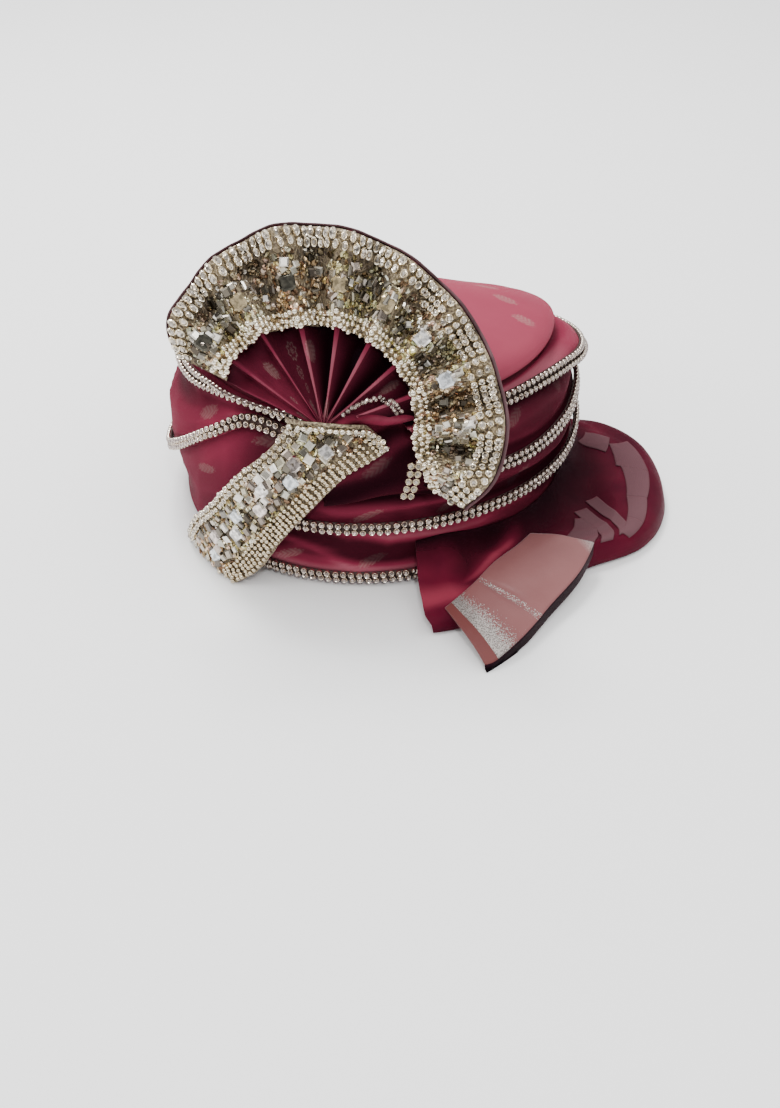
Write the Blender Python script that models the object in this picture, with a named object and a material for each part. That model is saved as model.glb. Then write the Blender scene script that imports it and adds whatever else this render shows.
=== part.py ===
"""A ready-tied turban (pagri): a wound crown with four lace-edged wraps, a pleated fan with a stone-set
lace border, a slanting stone-set front band, and a loose tail that lies beside it.

Run with: blender --background --python part.py
Metres, +Z up. The turban stands on z = 0 with its head opening centred on the origin. Its front faces -Y.
Angles round the turban ("turn") are degrees from the front, positive towards +X.
"""

import math
from collections import namedtuple

import bmesh
import bpy
from mathutils import Matrix, Vector

# Wound crown, measured on its outer cloth under the wraps
CROWN_WIDTH = 0.232
CROWN_LENGTH = 0.256
CROWN_HEIGHT = 0.118
OPENING_WIDTH = 0.160
OPENING_LENGTH = 0.196
OPENING_DEPTH = 0.095

# Wraps: each is a folded strip, tucked in at its top and standing off at its lower edge
CLOTH = 0.002
TUCKED_OFF = 0.0015
FREE_OFF = 0.0064
TOP_LIP_REACH = 0.0105
WRAP_BULGE = 0.0007
LAYER_GAP = 0.0009
SEAM_GAP = 0.0012
# Where the wraps lie, as shares of the crown's height, and how evenly they come away from it
NECK_SHARE = 0.872
RIM_SHARE = 0.030
TUCK_SHARE = 0.45
TUCK_LIMIT_SHARE = 0.085
FLARE_POWER = 0.75

# Bead trims: two rows of half-round beads on a tape, kept here as one flat band
TRIM_WIDTH = 0.0085
TRIM_THICKNESS = 0.0034
TRIM_OVERHANG = 0.0005
TRIM_SETBACK = 0.00405
TRIM_UNDER_BAND = 0.0091

# Stone-set lace, used for the front band and the fan border
LACE_THICKNESS = 0.0018
BEADS_THICKNESS = 0.003
STONE_SIDE = 0.0085
STONE_HEIGHT = 0.0022
STONE_CORNER = 0.0016
STONE_SEAT = 0.0004
STONE_BEVEL = 0.0011
BAND_THICKNESS = 0.003
# The band lies on the top and second trims, and flares away from the crown at its lower right corner
BAND_SEAT = 0.0009
BAND_FLARE = 0.0154
# Bead borders and rows of stones across the band, as shares of its width
Strip = namedtuple("Strip", "start end")
BAND_LEFT_BEADS = Strip(0.02, 0.15)
BAND_RIGHT_BEADS = Strip(0.76, 0.98)
BAND_STONE_ROWS = (0.54, 0.38)
BAND_STONE_SPAN = Strip(0.08, 0.87)

# Fan
FAN_RADIUS = 0.105
FAN_HUB_TURN = 4.6
FAN_HUB_SHARE = 0.8855
FAN_HUB_CLEARANCE = 0.0071
FAN_TURN = math.radians(12)
FAN_LEAN = math.radians(30)
PLEAT_PITCH = 20.4
PLEAT_PEAK = 84.0
PLEAT_DEPTH = 0.0066
QUARTER_PLEATS_RIGHT = 22
QUARTER_PLEATS_LEFT = 14
LACE_INSET = 0.001
OUTER_BORDER_INSET = 0.0015
OUTER_BORDER_WIDTH = 0.011
INNER_BORDER_INSET = 0.0005
INNER_BORDER_WIDTH = 0.008
FAN_STONE_SHARE = 0.43

# Loose end of the fan's inner beads, which hangs from a pleat at its lower right
BEAD_END_WIDTH = 0.0075
BEAD_END_THICKNESS = 0.004
BEAD_END_LENGTH = 0.021
BEAD_END_DROP = 0.0015
BEAD_END_PLEAT = -5
BEAD_END_SWAY = 0.0045

# Loose tail
TAIL_THICKNESS = 0.002
TAIL_REACH = 0.080
TAIL_ROLL = 0.012
TAIL_END_THICKNESS = 0.0024
TAIL_END_CROWNING = 0.002

# Section through the crown's outer cloth, from the rim to the top: height share, width share
Section = namedtuple("Section", "height width")
CROWN_SECTIONS = (
    Section(0.00, 0.935),
    Section(0.25, 0.985),
    Section(0.50, 1.000),
    Section(0.70, 0.965),
    Section(0.82, 0.905),
    Section(0.885, 0.885),
    Section(0.920, 0.935),
    Section(0.955, 0.930),
    Section(0.982, 0.850),
    Section(0.996, 0.660),
    Section(1.000, 0.300),
    Section(1.002, 0.000),
)
# Section through the head opening, from the rim to its roof
OPENING_SECTIONS = (
    Section(0.00, 1.000),
    Section(0.35, 0.985),
    Section(0.65, 0.890),
    Section(0.85, 0.680),
    Section(0.96, 0.380),
    Section(1.00, 0.000),
)

# The crown's height round the turban, which falls towards the back, as shares of its height at the front
Lean = namedtuple("Lean", "turn height")
CROWN_LEAN = (
    Lean(0, 1.00),
    Lean(60, 1.00),
    Lean(85, 0.985),
    Lean(105, 0.945),
    Lean(130, 0.835),
    Lean(155, 0.725),
    Lean(180, 0.675),
)
LEAN_WIDTH_SHARE = 0.86
LEAN_POWER = 1.6

# Free edges of the wraps round the turban, as shares of the crown's height at that turn
Edge = namedtuple("Edge", "turn top second third")
EDGES = (
    Edge(-184, 0.730, 0.600, 0.470),
    Edge(-150, 0.760, 0.430, 0.420),
    Edge(-120, 0.790, 0.260, 0.400),
    Edge(-95, 0.790, 0.215, 0.380),
    Edge(-75, 0.790, 0.240, 0.380),
    Edge(-60, 0.800, 0.315, 0.360),
    Edge(-45, 0.815, 0.475, 0.350),
    Edge(-30, 0.850, 0.665, 0.350),
    Edge(-19, 0.862, 0.777, 0.350),
    Edge(-4, 0.845, 0.761, 0.348),
    Edge(20, 0.832, 0.670, 0.348),
    Edge(50, 0.822, 0.550, 0.345),
    Edge(80, 0.800, 0.550, 0.335),
    Edge(95, 0.775, 0.585, 0.350),
    Edge(110, 0.750, 0.605, 0.370),
    Edge(140, 0.730, 0.620, 0.425),
    Edge(176, 0.730, 0.600, 0.470),
)
# Where the top wrap stands away from the crown at its right side, as shares of its lip's reach
Lip = namedtuple("Lip", "turn share")
TOP_LIP = (
    Lip(50, 0.00),
    Lip(70, 0.10),
    Lip(85, 0.50),
    Lip(97, 0.95),
    Lip(110, 1.00),
    Lip(125, 0.80),
    Lip(145, 0.30),
    Lip(165, 0.00),
)
RING_START = -184.0
RING_END = 176.0
# The seam under the front band, where the left wrap meets the right ones: height share, turn
Seam = namedtuple("Seam", "height turn")
FRONT_SEAM = (Seam(0.0, -31.0), Seam(0.35, -17.0), Seam(0.72, -1.0), Seam(0.86, 4.0))

# Front band: both edges as turn and height share, and how much of its flare each has there
BandRow = namedtuple("BandRow", "along left_turn left_height left_flare right_turn right_height right_flare")
BAND_ROWS = (
    BandRow(0.00, -41.0, 0.012, 0.190, -17.5, 0.010, 1.000),
    BandRow(0.14, -35.0, 0.190, 0.143, -11.5, 0.110, 0.578),
    BandRow(0.34, -26.5, 0.370, 0.078, -5.5, 0.300, 0.188),
    BandRow(0.56, -17.5, 0.590, 0.026, 2.0, 0.500, 0.078),
    BandRow(0.78, -9.5, 0.745, 0.010, 11.0, 0.690, 0.013),
    BandRow(0.91, -6.0, 0.840, 0.090, 18.5, 0.790, 0.050),
    BandRow(1.00, -3.5, 0.905, 0.190, 24.0, 0.870, 0.300),
)

# Fan outline and border: angle in the fan's plane, then radii as shares of the fan's radius
FanRow = namedtuple("FanRow", "angle cloth_start lace_start outer")
FAN_ROWS = (
    FanRow(-27, 0.580, 0.600, 0.820),
    FanRow(-14, 0.500, 0.480, 0.895),
    FanRow(3, 0.420, 0.460, 0.915),
    FanRow(18, 0.250, 0.470, 0.905),
    FanRow(32, 0.090, 0.475, 0.910),
    FanRow(53, 0.070, 0.485, 0.925),
    FanRow(83, 0.070, 0.505, 0.980),
    FanRow(105, 0.070, 0.520, 1.015),
    FanRow(125, 0.070, 0.555, 0.990),
    FanRow(145, 0.090, 0.560, 0.935),
    FanRow(151, 0.095, 0.555, 0.884),
    FanRow(156, 0.100, 0.545, 0.800),
)
# Pleat height and cupping of the fan from the hub outwards, as shares of the pleat's depth
Cup = namedtuple("Cup", "radius pleat cup")
FAN_CUP = (
    Cup(0.0, 0.05, 0.0),
    Cup(0.25, 0.50, 0.0),
    Cup(0.50, 1.00, 0.05),
    Cup(0.75, 0.85, 0.35),
    Cup(1.05, 0.50, 1.00),
)

# Tail beside the turban: where it leaves the wall, and its outer roll on the floor as shares of its reach
TailRow = namedtuple("TailRow", "along turn wall_height reach_turn reach roll")
TAIL_ROWS = (
    TailRow(0.00, 126.0, 0.24, 124.0, 0.38, 0.45),
    TailRow(0.09, 114.0, 0.22, 118.8, 0.60, 0.80),
    TailRow(0.20, 102.0, 0.20, 109.3, 0.81, 1.00),
    TailRow(0.32, 90.0, 0.18, 98.3, 0.93, 1.05),
    TailRow(0.44, 78.0, 0.16, 85.8, 1.00, 1.05),
    TailRow(0.56, 66.0, 0.17, 74.7, 0.96, 1.05),
    TailRow(0.68, 55.0, 0.19, 62.7, 0.74, 1.25),
    TailRow(0.80, 45.0, 0.22, 49.3, 0.65, 1.15),
    TailRow(0.91, 36.0, 0.25, 35.5, 0.71, 0.95),
    TailRow(1.00, 28.0, 0.24, 26.5, 0.61, 0.60),
)
# Across the tail, from the wall to the floor edge: reach share, drop share of wall height, roll share
TailCross = namedtuple("TailCross", "across wall roll")
TAIL_CROSS = (
    TailCross(0.00, 1.00, 0.00),
    TailCross(0.20, 0.45, 0.20),
    TailCross(0.45, 0.12, 0.55),
    TailCross(0.68, 0.00, 0.90),
    TailCross(0.86, 0.00, 1.00),
    TailCross(0.97, 0.00, 0.62),
    TailCross(1.00, 0.00, 0.00),
)
# Turned-over end of the tail: its two long edges, with reach and height as shares of the tail's
EndRow = namedtuple("EndRow", "along inner_turn inner_reach inner_height outer_turn outer_reach outer_height")
TAIL_END_ROWS = (
    EndRow(0.00, 64.2, 0.306, 1.458, 64.0, 0.759, 1.375),
    EndRow(0.25, 53.4, 0.375, 1.433, 56.5, 0.853, 1.083),
    EndRow(0.50, 44.0, 0.439, 1.358, 47.0, 0.959, 0.792),
    EndRow(0.75, 35.6, 0.584, 1.200, 38.8, 1.114, 0.500),
    EndRow(1.00, 29.5, 0.675, 0.833, 31.7, 1.243, 0.100),
)

RING_COLUMNS = 44
WRAP_ROWS = 4
BAND_LENGTHS = 11
BAND_STONES = 9
FAN_STONES = 7

MATERIALS = {
    "maroon cloth": ((0.26, 0.028, 0.055), 0.55, 0.0),
    "silver beads": ((0.72, 0.69, 0.60), 0.25, 1.0),
    "stone lace": ((0.50, 0.45, 0.34), 0.35, 0.8),
    "mirror stone": ((0.85, 0.84, 0.80), 0.08, 1.0),
    "tail cloth": ((0.24, 0.020, 0.045), 0.50, 0.0),
    "tail satin": ((0.48, 0.17, 0.17), 0.40, 0.0),
}


def read(table, at, column):
    """Smooth value of a table's column, where `at` is measured on the table's first column."""
    keys = [row[0] for row in table]
    values = [getattr(row, column) for row in table]
    if at <= keys[0]:
        return values[0]
    if at >= keys[-1]:
        return values[-1]
    k = max(i for i, key in enumerate(keys) if key <= at)
    share = (at - keys[k]) / (keys[k + 1] - keys[k])
    slopes = []
    for i in (k, k + 1):
        before, after = max(i - 1, 0), min(i + 1, len(keys) - 1)
        slopes.append((values[after] - values[before]) / (keys[after] - keys[before]))
    span = keys[k + 1] - keys[k]
    cube, square = share**3, share**2
    return (
        values[k] * (2 * cube - 3 * square + 1)
        + slopes[0] * span * (cube - 2 * square + share)
        + values[k + 1] * (3 * square - 2 * cube)
        + slopes[1] * span * (cube - square)
    )


def mix(start, end, share):
    return start + (end - start) * share


def lean(turn):
    """The crown's local height, as a share of its height at the front."""
    return read(CROWN_LEAN, abs((turn + 180) % 360 - 180), "height")


def crown_height(turn, width=1.0):
    """The crown's height at a turn in degrees, at a share of the way from its centre to its outer cloth."""
    return CROWN_HEIGHT * (1 - (1 - lean(turn)) * min(width / LEAN_WIDTH_SHARE, 1.0) ** LEAN_POWER)


def crown_point(turn, height, off=0.0):
    """A point beside the crown's cloth at a turn in degrees and a share of its height there, `off` outwards."""
    share = read(CROWN_SECTIONS, height, "width")
    height *= crown_height(turn)
    angle = math.radians(turn)
    half_width = CROWN_WIDTH / 2 * share
    half_length = CROWN_LENGTH / 2 * share
    outwards = Vector((math.sin(angle) * half_length, -math.cos(angle) * half_width, 0.0)).normalized()
    place = Vector((math.sin(angle) * half_width, -math.cos(angle) * half_length, height))
    return place + outwards * off


def new_object(bm, name, material, collection):
    mesh = bpy.data.meshes.new(name)
    bm.to_mesh(mesh)
    bm.free()
    mesh.shade_smooth()
    mesh.set_sharp_from_angle(angle=math.radians(40))
    made = bpy.data.objects.new(name, mesh)
    collection.objects.link(made)
    made.data.materials.append(material)
    return made


def face_outwards(bm):
    bmesh.ops.recalc_face_normals(bm, faces=list(bm.faces))
    if bm.calc_volume(signed=True) < 0:
        bmesh.ops.reverse_faces(bm, faces=list(bm.faces))


def slab(columns, rows, place, ring=False):
    """A wall made by extruding a grid and laying it out with place(u, v, w); w is 0 inside, 1 outside."""
    bm = bmesh.new()
    bmesh.ops.create_grid(bm, x_segments=columns, y_segments=rows, size=0.5)
    inner = list(bm.verts)
    made = bmesh.ops.extrude_face_region(bm, geom=list(bm.faces), use_keep_orig=True)
    outer = [g for g in made["geom"] if isinstance(g, bmesh.types.BMVert)]
    spots = {v: (v.co.x + 0.5, v.co.y + 0.5, 0.0) for v in inner}
    spots.update({v: (v.co.x + 0.5, v.co.y + 0.5, 1.0) for v in outer})
    if ring:
        ends = [
            f
            for f in bm.faces
            if all(spots[v][0] < 1e-4 for v in f.verts) or all(spots[v][0] > 1 - 1e-4 for v in f.verts)
        ]
        bmesh.ops.delete(bm, geom=ends, context="FACES_ONLY")
    for v, (u, along, w) in spots.items():
        v.co = place(u, along, w)
    if ring:
        bmesh.ops.remove_doubles(bm, verts=list(bm.verts), dist=1e-6)
    face_outwards(bm)
    return bm


def crown_body():
    """The wound crown: from the roof of the head opening, over the rim, and up to the top of the cloth."""
    steps = [("opening", s) for s in reversed(OPENING_SECTIONS)] + [("cloth", s) for s in CROWN_SECTIONS]
    bm = bmesh.new()
    bmesh.ops.create_grid(bm, x_segments=RING_COLUMNS, y_segments=len(steps) - 1, size=0.5)
    for v in bm.verts:
        angle = math.tau * (v.co.x + 0.5)
        kind, section = steps[round((v.co.y + 0.5) * (len(steps) - 1))]
        if kind == "opening":
            width, length, height = OPENING_WIDTH, OPENING_LENGTH, OPENING_DEPTH
        else:
            width, length, height = CROWN_WIDTH, CROWN_LENGTH, crown_height(math.degrees(angle), section.width)
        v.co = Vector(
            (
                math.sin(angle) * width / 2 * section.width,
                -math.cos(angle) * length / 2 * section.width,
                height * section.height,
            )
        )
    bmesh.ops.remove_doubles(bm, verts=list(bm.verts), dist=1e-6)
    face_outwards(bm)
    return bm


def edge_height(turn, which):
    """Share of the crown's height at which a wrap's free edge lies."""
    if which == "rim":
        return RIM_SHARE
    return read(EDGES, turn, which)


def wrap_top(turn, which):
    """Share of the crown's height where a wrap is tucked in, under the free edge of the wrap above it."""
    above = {"top": None, "second": "top", "third": "second", "rim": "third", "left": "second"}[which]
    if above is None:
        return NECK_SHARE
    edge = edge_height(turn, above)
    return edge + min(TUCK_LIMIT_SHARE, TUCK_SHARE * (wrap_top(turn, above) - edge))


def wrap_off(share):
    """How far a wrap's inside stands off the crown, from its free edge (0) to its tucked top (1)."""
    return mix(FREE_OFF, TUCKED_OFF, share**FLARE_POWER) + WRAP_BULGE * math.sin(math.pi * share)


def lip(turn, which):
    """How far the top wrap's free edge stands off beyond the others, at its right side."""
    return TOP_LIP_REACH * read(TOP_LIP, turn, "share") if which == "top" else 0.0


def trim_back():
    """How far the back of the bead trims stands off the crown, clear of the wraps' free edges."""
    return FREE_OFF + CLOTH + LAYER_GAP


def along_crown(length):
    """Degrees of turn that a length takes up at the crown's side."""
    return math.degrees(length / (CROWN_WIDTH / 2))


def front_seam(height):
    return read(FRONT_SEAM, height, "turn")


def wrap(which, start, end, columns, rows=WRAP_ROWS, ring=False):
    """One wrap. start and end are functions of the height share that give the turn of the wrap's ends."""
    lower = "rim" if which == "left" else which

    def place(u, v, w):
        middle = mix(start(0.0), end(0.0), u)
        low, high = edge_height(middle, lower), wrap_top(middle, which)
        height = mix(low, high, v)
        turn = mix(start(height), end(height), u)
        low, high = edge_height(turn, lower), wrap_top(turn, which)
        off = wrap_off(v) + lip(turn, which) * (1 - v)
        return crown_point(turn, mix(low, high, v), off + CLOTH * w)

    return slab(columns, rows, place, ring)


def trim(which, start, end, columns, ring=False):
    """The bead trim on a wrap's free edge."""
    def place(u, v, w):
        turn = mix(start, end, u)
        height = edge_height(turn, which) + (TRIM_WIDTH * v - TRIM_OVERHANG) / crown_height(turn)
        return crown_point(turn, height, trim_back() + lip(turn, which) + TRIM_THICKNESS * w)

    return slab(columns, 1, place, ring)


def band_point(across, along, off):
    """Across is 0 on the left edge and 1 on the right, along is 0 at the lower end and 1 at the fan's hub."""
    turn = mix(read(BAND_ROWS, along, "left_turn"), read(BAND_ROWS, along, "right_turn"), across)
    height = mix(read(BAND_ROWS, along, "left_height"), read(BAND_ROWS, along, "right_height"), across)
    flare = mix(read(BAND_ROWS, along, "left_flare"), read(BAND_ROWS, along, "right_flare"), across)
    stand = trim_back() + TRIM_THICKNESS + BAND_SEAT + BAND_FLARE * flare
    return crown_point(turn, height, stand + off)


def band(first, last, inside, thickness, columns, rows):
    def place(u, v, w):
        return band_point(mix(first, last, u), v, inside + thickness * w)

    return slab(columns, rows, place)


def fan_hub():
    """Where the fan's folds are gathered, just in front of the bead trims at the crown's neck."""
    return crown_point(FAN_HUB_TURN, FAN_HUB_SHARE, trim_back() + TRIM_THICKNESS + FAN_HUB_CLEARANCE)


def fan_axes():
    across = Vector((math.cos(FAN_TURN), math.sin(FAN_TURN), 0.0))
    facing = Vector(
        (
            math.sin(FAN_TURN) * math.cos(FAN_LEAN),
            -math.cos(FAN_TURN) * math.cos(FAN_LEAN),
            math.sin(FAN_LEAN),
        )
    )
    return across, facing.cross(across), facing


def fan_point(angle, radius, lift):
    """A point on the pleated fan at an angle in degrees and a radius in metres, `lift` towards its face."""
    across, upwards, facing = fan_axes()
    share = radius / FAN_RADIUS
    wave = math.cos(math.tau * (angle - PLEAT_PEAK) / PLEAT_PITCH)
    height = PLEAT_DEPTH * (read(FAN_CUP, share, "pleat") * wave + read(FAN_CUP, share, "cup"))
    spoke = across * math.cos(math.radians(angle)) + upwards * math.sin(math.radians(angle))
    return fan_hub() + spoke * radius + facing * (height + lift)


def fan_layer(inner, outer, inside, thickness, rows):
    """A layer of the fan between two radii, each a function of the angle."""
    columns = QUARTER_PLEATS_RIGHT + QUARTER_PLEATS_LEFT

    def place(u, v, w):
        angle = PLEAT_PEAK + PLEAT_PITCH / 4 * mix(-QUARTER_PLEATS_RIGHT, QUARTER_PLEATS_LEFT, u)
        return fan_point(angle, mix(inner(angle), outer(angle), v), inside + thickness * w)

    return slab(columns, rows, place)


def fan_radius(angle, column):
    return FAN_RADIUS * read(FAN_ROWS, angle, column)


def bead_end(lift):
    """The two short bead strands side by side, as one flat piece that hangs from the inner bead border."""
    across, upwards, facing = fan_axes()
    angle = PLEAT_PEAK + PLEAT_PITCH * BEAD_END_PLEAT
    hung = fan_point(angle, fan_radius(angle, "lace_start") - BEAD_END_DROP, lift)

    def place(u, v, w):
        down = -upwards * (v - v**2 / 2) - Vector((0, 0, 1)) * v**2 / 2
        middle = hung + down * BEAD_END_LENGTH - across * BEAD_END_SWAY * v**2
        return middle + across * BEAD_END_WIDTH * (u - 0.5) + facing * BEAD_END_THICKNESS * w

    return slab(2, 6, place)


def stone_shape():
    """A square mirror stone with clipped corners: a table, eight bevels and a girdle, its back at z = 0."""
    bm = bmesh.new()
    bmesh.ops.create_cube(bm, size=1.0)
    bmesh.ops.scale(bm, vec=(STONE_SIDE, STONE_SIDE, STONE_HEIGHT), verts=list(bm.verts))
    bmesh.ops.translate(bm, vec=(0, 0, STONE_HEIGHT / 2), verts=list(bm.verts))
    posts = [e for e in bm.edges if abs(e.verts[0].co.z - e.verts[1].co.z) > STONE_HEIGHT / 2]
    bmesh.ops.bevel(bm, geom=posts, offset=STONE_CORNER, segments=1, affect="EDGES")
    rim = [e for e in bm.edges if all(v.co.z > STONE_HEIGHT * 0.9 for v in e.verts)]
    bmesh.ops.bevel(bm, geom=rim, offset=STONE_BEVEL, segments=1, affect="EDGES")
    mesh = bpy.data.meshes.new("mirror_stone")
    bm.to_mesh(mesh)
    bm.free()
    return mesh


def set_stone(mesh, name, material, collection, place, up, facing):
    """Places a stone with its back at `place`, its table facing `facing` and its side along `up`."""
    facing = facing.normalized()
    up = (up - facing * up.dot(facing)).normalized()
    made = bpy.data.objects.new(name, mesh)
    collection.objects.link(made)
    turned = Matrix((up.cross(facing), up, facing)).transposed().to_4x4()
    made.matrix_world = Matrix.Translation(place) @ turned
    if not mesh.materials:
        mesh.materials.append(material)
    return made


def tail_point(along, across, lift):
    turn = read(TAIL_ROWS, along, "turn")
    wall_share = read(TAIL_ROWS, along, "wall_height")
    wall = wall_share * CROWN_HEIGHT
    up_wrap = (wall_share / lean(turn) - RIM_SHARE) / (wrap_top(turn, "rim") - RIM_SHARE)
    start = crown_point(turn, wall_share / lean(turn), wrap_off(up_wrap) + CLOTH + LAYER_GAP)
    reach = crown_point(read(TAIL_ROWS, along, "reach_turn"), 0.0, TAIL_REACH * read(TAIL_ROWS, along, "reach"))
    share = read(TAIL_CROSS, across, "across")
    spot = start.lerp(reach, share)
    height = read(TAIL_CROSS, across, "wall") * wall
    roll = read(TAIL_CROSS, across, "roll") * TAIL_ROLL * read(TAIL_ROWS, along, "roll")
    return Vector((spot.x, spot.y, max(height, 0.0) + max(roll, 0.0) + lift))


def tail_end_point(along, across, lift):
    """A point on the turned-over end: `across` is 0 on its edge by the turban and 1 on its outer edge."""
    edges = []
    for side in ("inner", "outer"):
        turn = read(TAIL_END_ROWS, along, side + "_turn")
        edge = crown_point(turn, 0.0, TAIL_REACH * read(TAIL_END_ROWS, along, side + "_reach"))
        edge.z = TAIL_ROLL * read(TAIL_END_ROWS, along, side + "_height")
        edges.append(edge)
    spot = edges[0].lerp(edges[1], across)
    spot.z += lift + TAIL_END_CROWNING * math.sin(math.pi * across)
    return spot


def make_materials():
    made = {}
    for name, (colour, roughness, metallic) in MATERIALS.items():
        material = bpy.data.materials.new(name)
        material.use_nodes = True
        shader = material.node_tree.nodes["Principled BSDF"]
        shader.inputs["Base Color"].default_value = (*colour, 1.0)
        shader.inputs["Roughness"].default_value = roughness
        shader.inputs["Metallic"].default_value = metallic
        made[name] = material
    return made


def build_crown_and_wraps(keep):
    keep(crown_body(), "crown", "maroon cloth")
    ring_start = lambda height: RING_START
    ring_end = lambda height: RING_END
    half_seam = along_crown(SEAM_GAP) / 2
    last = RING_END - half_seam
    trim_last = RING_END - along_crown(TRIM_SETBACK)
    third_first = front_seam(edge_height(FRONT_SEAM[1].turn, "third")) + along_crown(TRIM_SETBACK)
    bottom_first = BAND_ROWS[0].right_turn - along_crown(TRIM_UNDER_BAND)
    after_seam = lambda height: front_seam(height) + half_seam
    before_seam = lambda height: front_seam(height) - half_seam
    keep(wrap("top", ring_start, ring_end, RING_COLUMNS, ring=True), "wrap_top", "maroon cloth")
    keep(wrap("second", ring_start, ring_end, RING_COLUMNS, ring=True), "wrap_second", "maroon cloth")
    keep(wrap("third", after_seam, lambda height: last, 24), "wrap_third", "maroon cloth")
    keep(wrap("rim", after_seam, lambda height: last, 26), "wrap_bottom", "maroon cloth")
    keep(wrap("left", lambda height: RING_START + half_seam, before_seam, 26, rows=11), "wrap_left", "maroon cloth")
    keep(trim("top", RING_START, RING_END, RING_COLUMNS, ring=True), "trim_top", "silver beads")
    keep(trim("second", RING_START, RING_END, RING_COLUMNS, ring=True), "trim_second", "silver beads")
    keep(trim("third", third_first, trim_last, 26), "trim_third", "silver beads")
    keep(trim("rim", bottom_first, trim_last, 28), "trim_bottom", "silver beads")


def build_front_band(keep, set_on):
    keep(band(0.0, 1.0, 0.0, BAND_THICKNESS, 4, BAND_LENGTHS), "front_band", "stone lace")
    on_band = BAND_THICKNESS + LAYER_GAP
    for beads, name in ((BAND_LEFT_BEADS, "band_left_beads"), (BAND_RIGHT_BEADS, "band_right_beads")):
        keep(band(*beads, on_band, BEADS_THICKNESS, 1, BAND_LENGTHS), name, "silver beads")
    step = 0.03
    for i in range(BAND_STONES):
        along = mix(*BAND_STONE_SPAN, i / (BAND_STONES - 1))
        across = BAND_STONE_ROWS[i % 2]
        spot = band_point(across, along, on_band)
        up = band_point(across, along + step, on_band) - band_point(across, along - step, on_band)
        side = band_point(across + step, along, on_band) - band_point(across - step, along, on_band)
        facing = side.cross(up).normalized()
        set_on(f"band_stone_{i + 1}", spot - facing * STONE_SEAT, up, facing)


def build_fan(keep, set_on):
    lace_back = CLOTH + LAYER_GAP
    lace_front = lace_back + LACE_THICKNESS
    beads_back = lace_front + LAYER_GAP
    edge = lambda angle: fan_radius(angle, "outer")
    lace_edge = lambda angle: fan_radius(angle, "lace_start")
    lace_outer = lambda angle: edge(angle) - LACE_INSET
    outer_last = lambda angle: edge(angle) - OUTER_BORDER_INSET
    outer_first = lambda angle: outer_last(angle) - OUTER_BORDER_WIDTH
    inner_first = lambda angle: lace_edge(angle) + INNER_BORDER_INSET
    inner_last = lambda angle: inner_first(angle) + INNER_BORDER_WIDTH
    keep(fan_layer(lambda a: fan_radius(a, "cloth_start"), edge, 0.0, CLOTH, 6), "fan_cloth", "maroon cloth")
    keep(fan_layer(lace_edge, lace_outer, lace_back, LACE_THICKNESS, 4), "fan_lace", "stone lace")
    keep(fan_layer(outer_first, outer_last, beads_back, BEADS_THICKNESS, 1), "fan_outer_beads", "silver beads")
    keep(fan_layer(inner_first, inner_last, beads_back, BEADS_THICKNESS, 1), "fan_inner_beads", "silver beads")
    keep(bead_end(beads_back + BEADS_THICKNESS + LAYER_GAP), "fan_bead_end", "silver beads")
    for i in range(FAN_STONES):
        angle = PLEAT_PEAK + PLEAT_PITCH * (i - FAN_STONES // 2)
        radius = mix(lace_edge(angle), edge(angle), FAN_STONE_SHARE)
        half = STONE_SIDE / 2
        spot = fan_point(angle, radius, beads_back)
        outwards = fan_point(angle, radius + half, beads_back) - fan_point(angle, radius - half, beads_back)
        side = fan_point(angle - 1, radius, beads_back) - fan_point(angle + 1, radius, beads_back)
        set_on(f"fan_stone_{i + 1}", spot, outwards, side.cross(outwards))


def build_tail(keep):
    keep(
        slab(22, 7, lambda u, v, w: tail_point(1 - u, v, TAIL_THICKNESS * w)),
        "tail",
        "tail cloth",
    )
    keep(
        slab(8, 4, lambda u, v, w: tail_end_point(1 - u, v, TAIL_END_THICKNESS * w)),
        "tail_end",
        "tail satin",
    )


def main():
    for old in list(bpy.data.objects):
        bpy.data.objects.remove(old)
    collection = bpy.data.collections.new("tied turban")
    bpy.context.scene.collection.children.link(collection)
    materials = make_materials()

    def keep(bm, name, material):
        return new_object(bm, name, materials[material], collection)

    build_crown_and_wraps(keep)
    shape = stone_shape()

    def set_on(name, place, up, facing):
        set_stone(shape, name, materials["mirror stone"], collection, place, up, facing)

    build_front_band(keep, set_on)
    build_fan(keep, set_on)
    build_tail(keep)


main()
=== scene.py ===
import math

import bmesh
import bpy
import numpy as np
from mathutils import Matrix, Vector, noise


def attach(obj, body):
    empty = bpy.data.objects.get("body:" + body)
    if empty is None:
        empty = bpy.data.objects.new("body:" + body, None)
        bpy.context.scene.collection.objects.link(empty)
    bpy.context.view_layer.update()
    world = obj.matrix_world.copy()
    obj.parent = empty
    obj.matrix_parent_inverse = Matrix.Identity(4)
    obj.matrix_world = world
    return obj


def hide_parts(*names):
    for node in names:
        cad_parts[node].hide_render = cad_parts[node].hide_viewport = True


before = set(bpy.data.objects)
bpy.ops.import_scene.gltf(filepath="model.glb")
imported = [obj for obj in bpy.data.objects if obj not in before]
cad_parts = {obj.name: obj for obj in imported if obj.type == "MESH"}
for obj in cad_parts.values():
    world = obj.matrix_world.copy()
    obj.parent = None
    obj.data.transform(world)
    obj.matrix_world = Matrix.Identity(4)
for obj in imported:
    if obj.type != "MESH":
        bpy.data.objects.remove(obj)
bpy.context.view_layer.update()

# Camera, floor and lights
# The turban is seen from a little to its right and from above, on a plain white floor under soft
# studio light that comes mostly from above and behind it, so its front walls lie in their own shade.
camera_data = bpy.data.cameras.new("camera")
camera_data.lens = 45.0
camera_data.sensor_width = 36.0
camera = bpy.data.objects.new("camera", camera_data)
camera.location = (0.2083, -0.7371, 0.4761)
camera.rotation_euler = (math.radians(54.5), 0.0, math.radians(15.0))
bpy.context.scene.collection.objects.link(camera)
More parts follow.
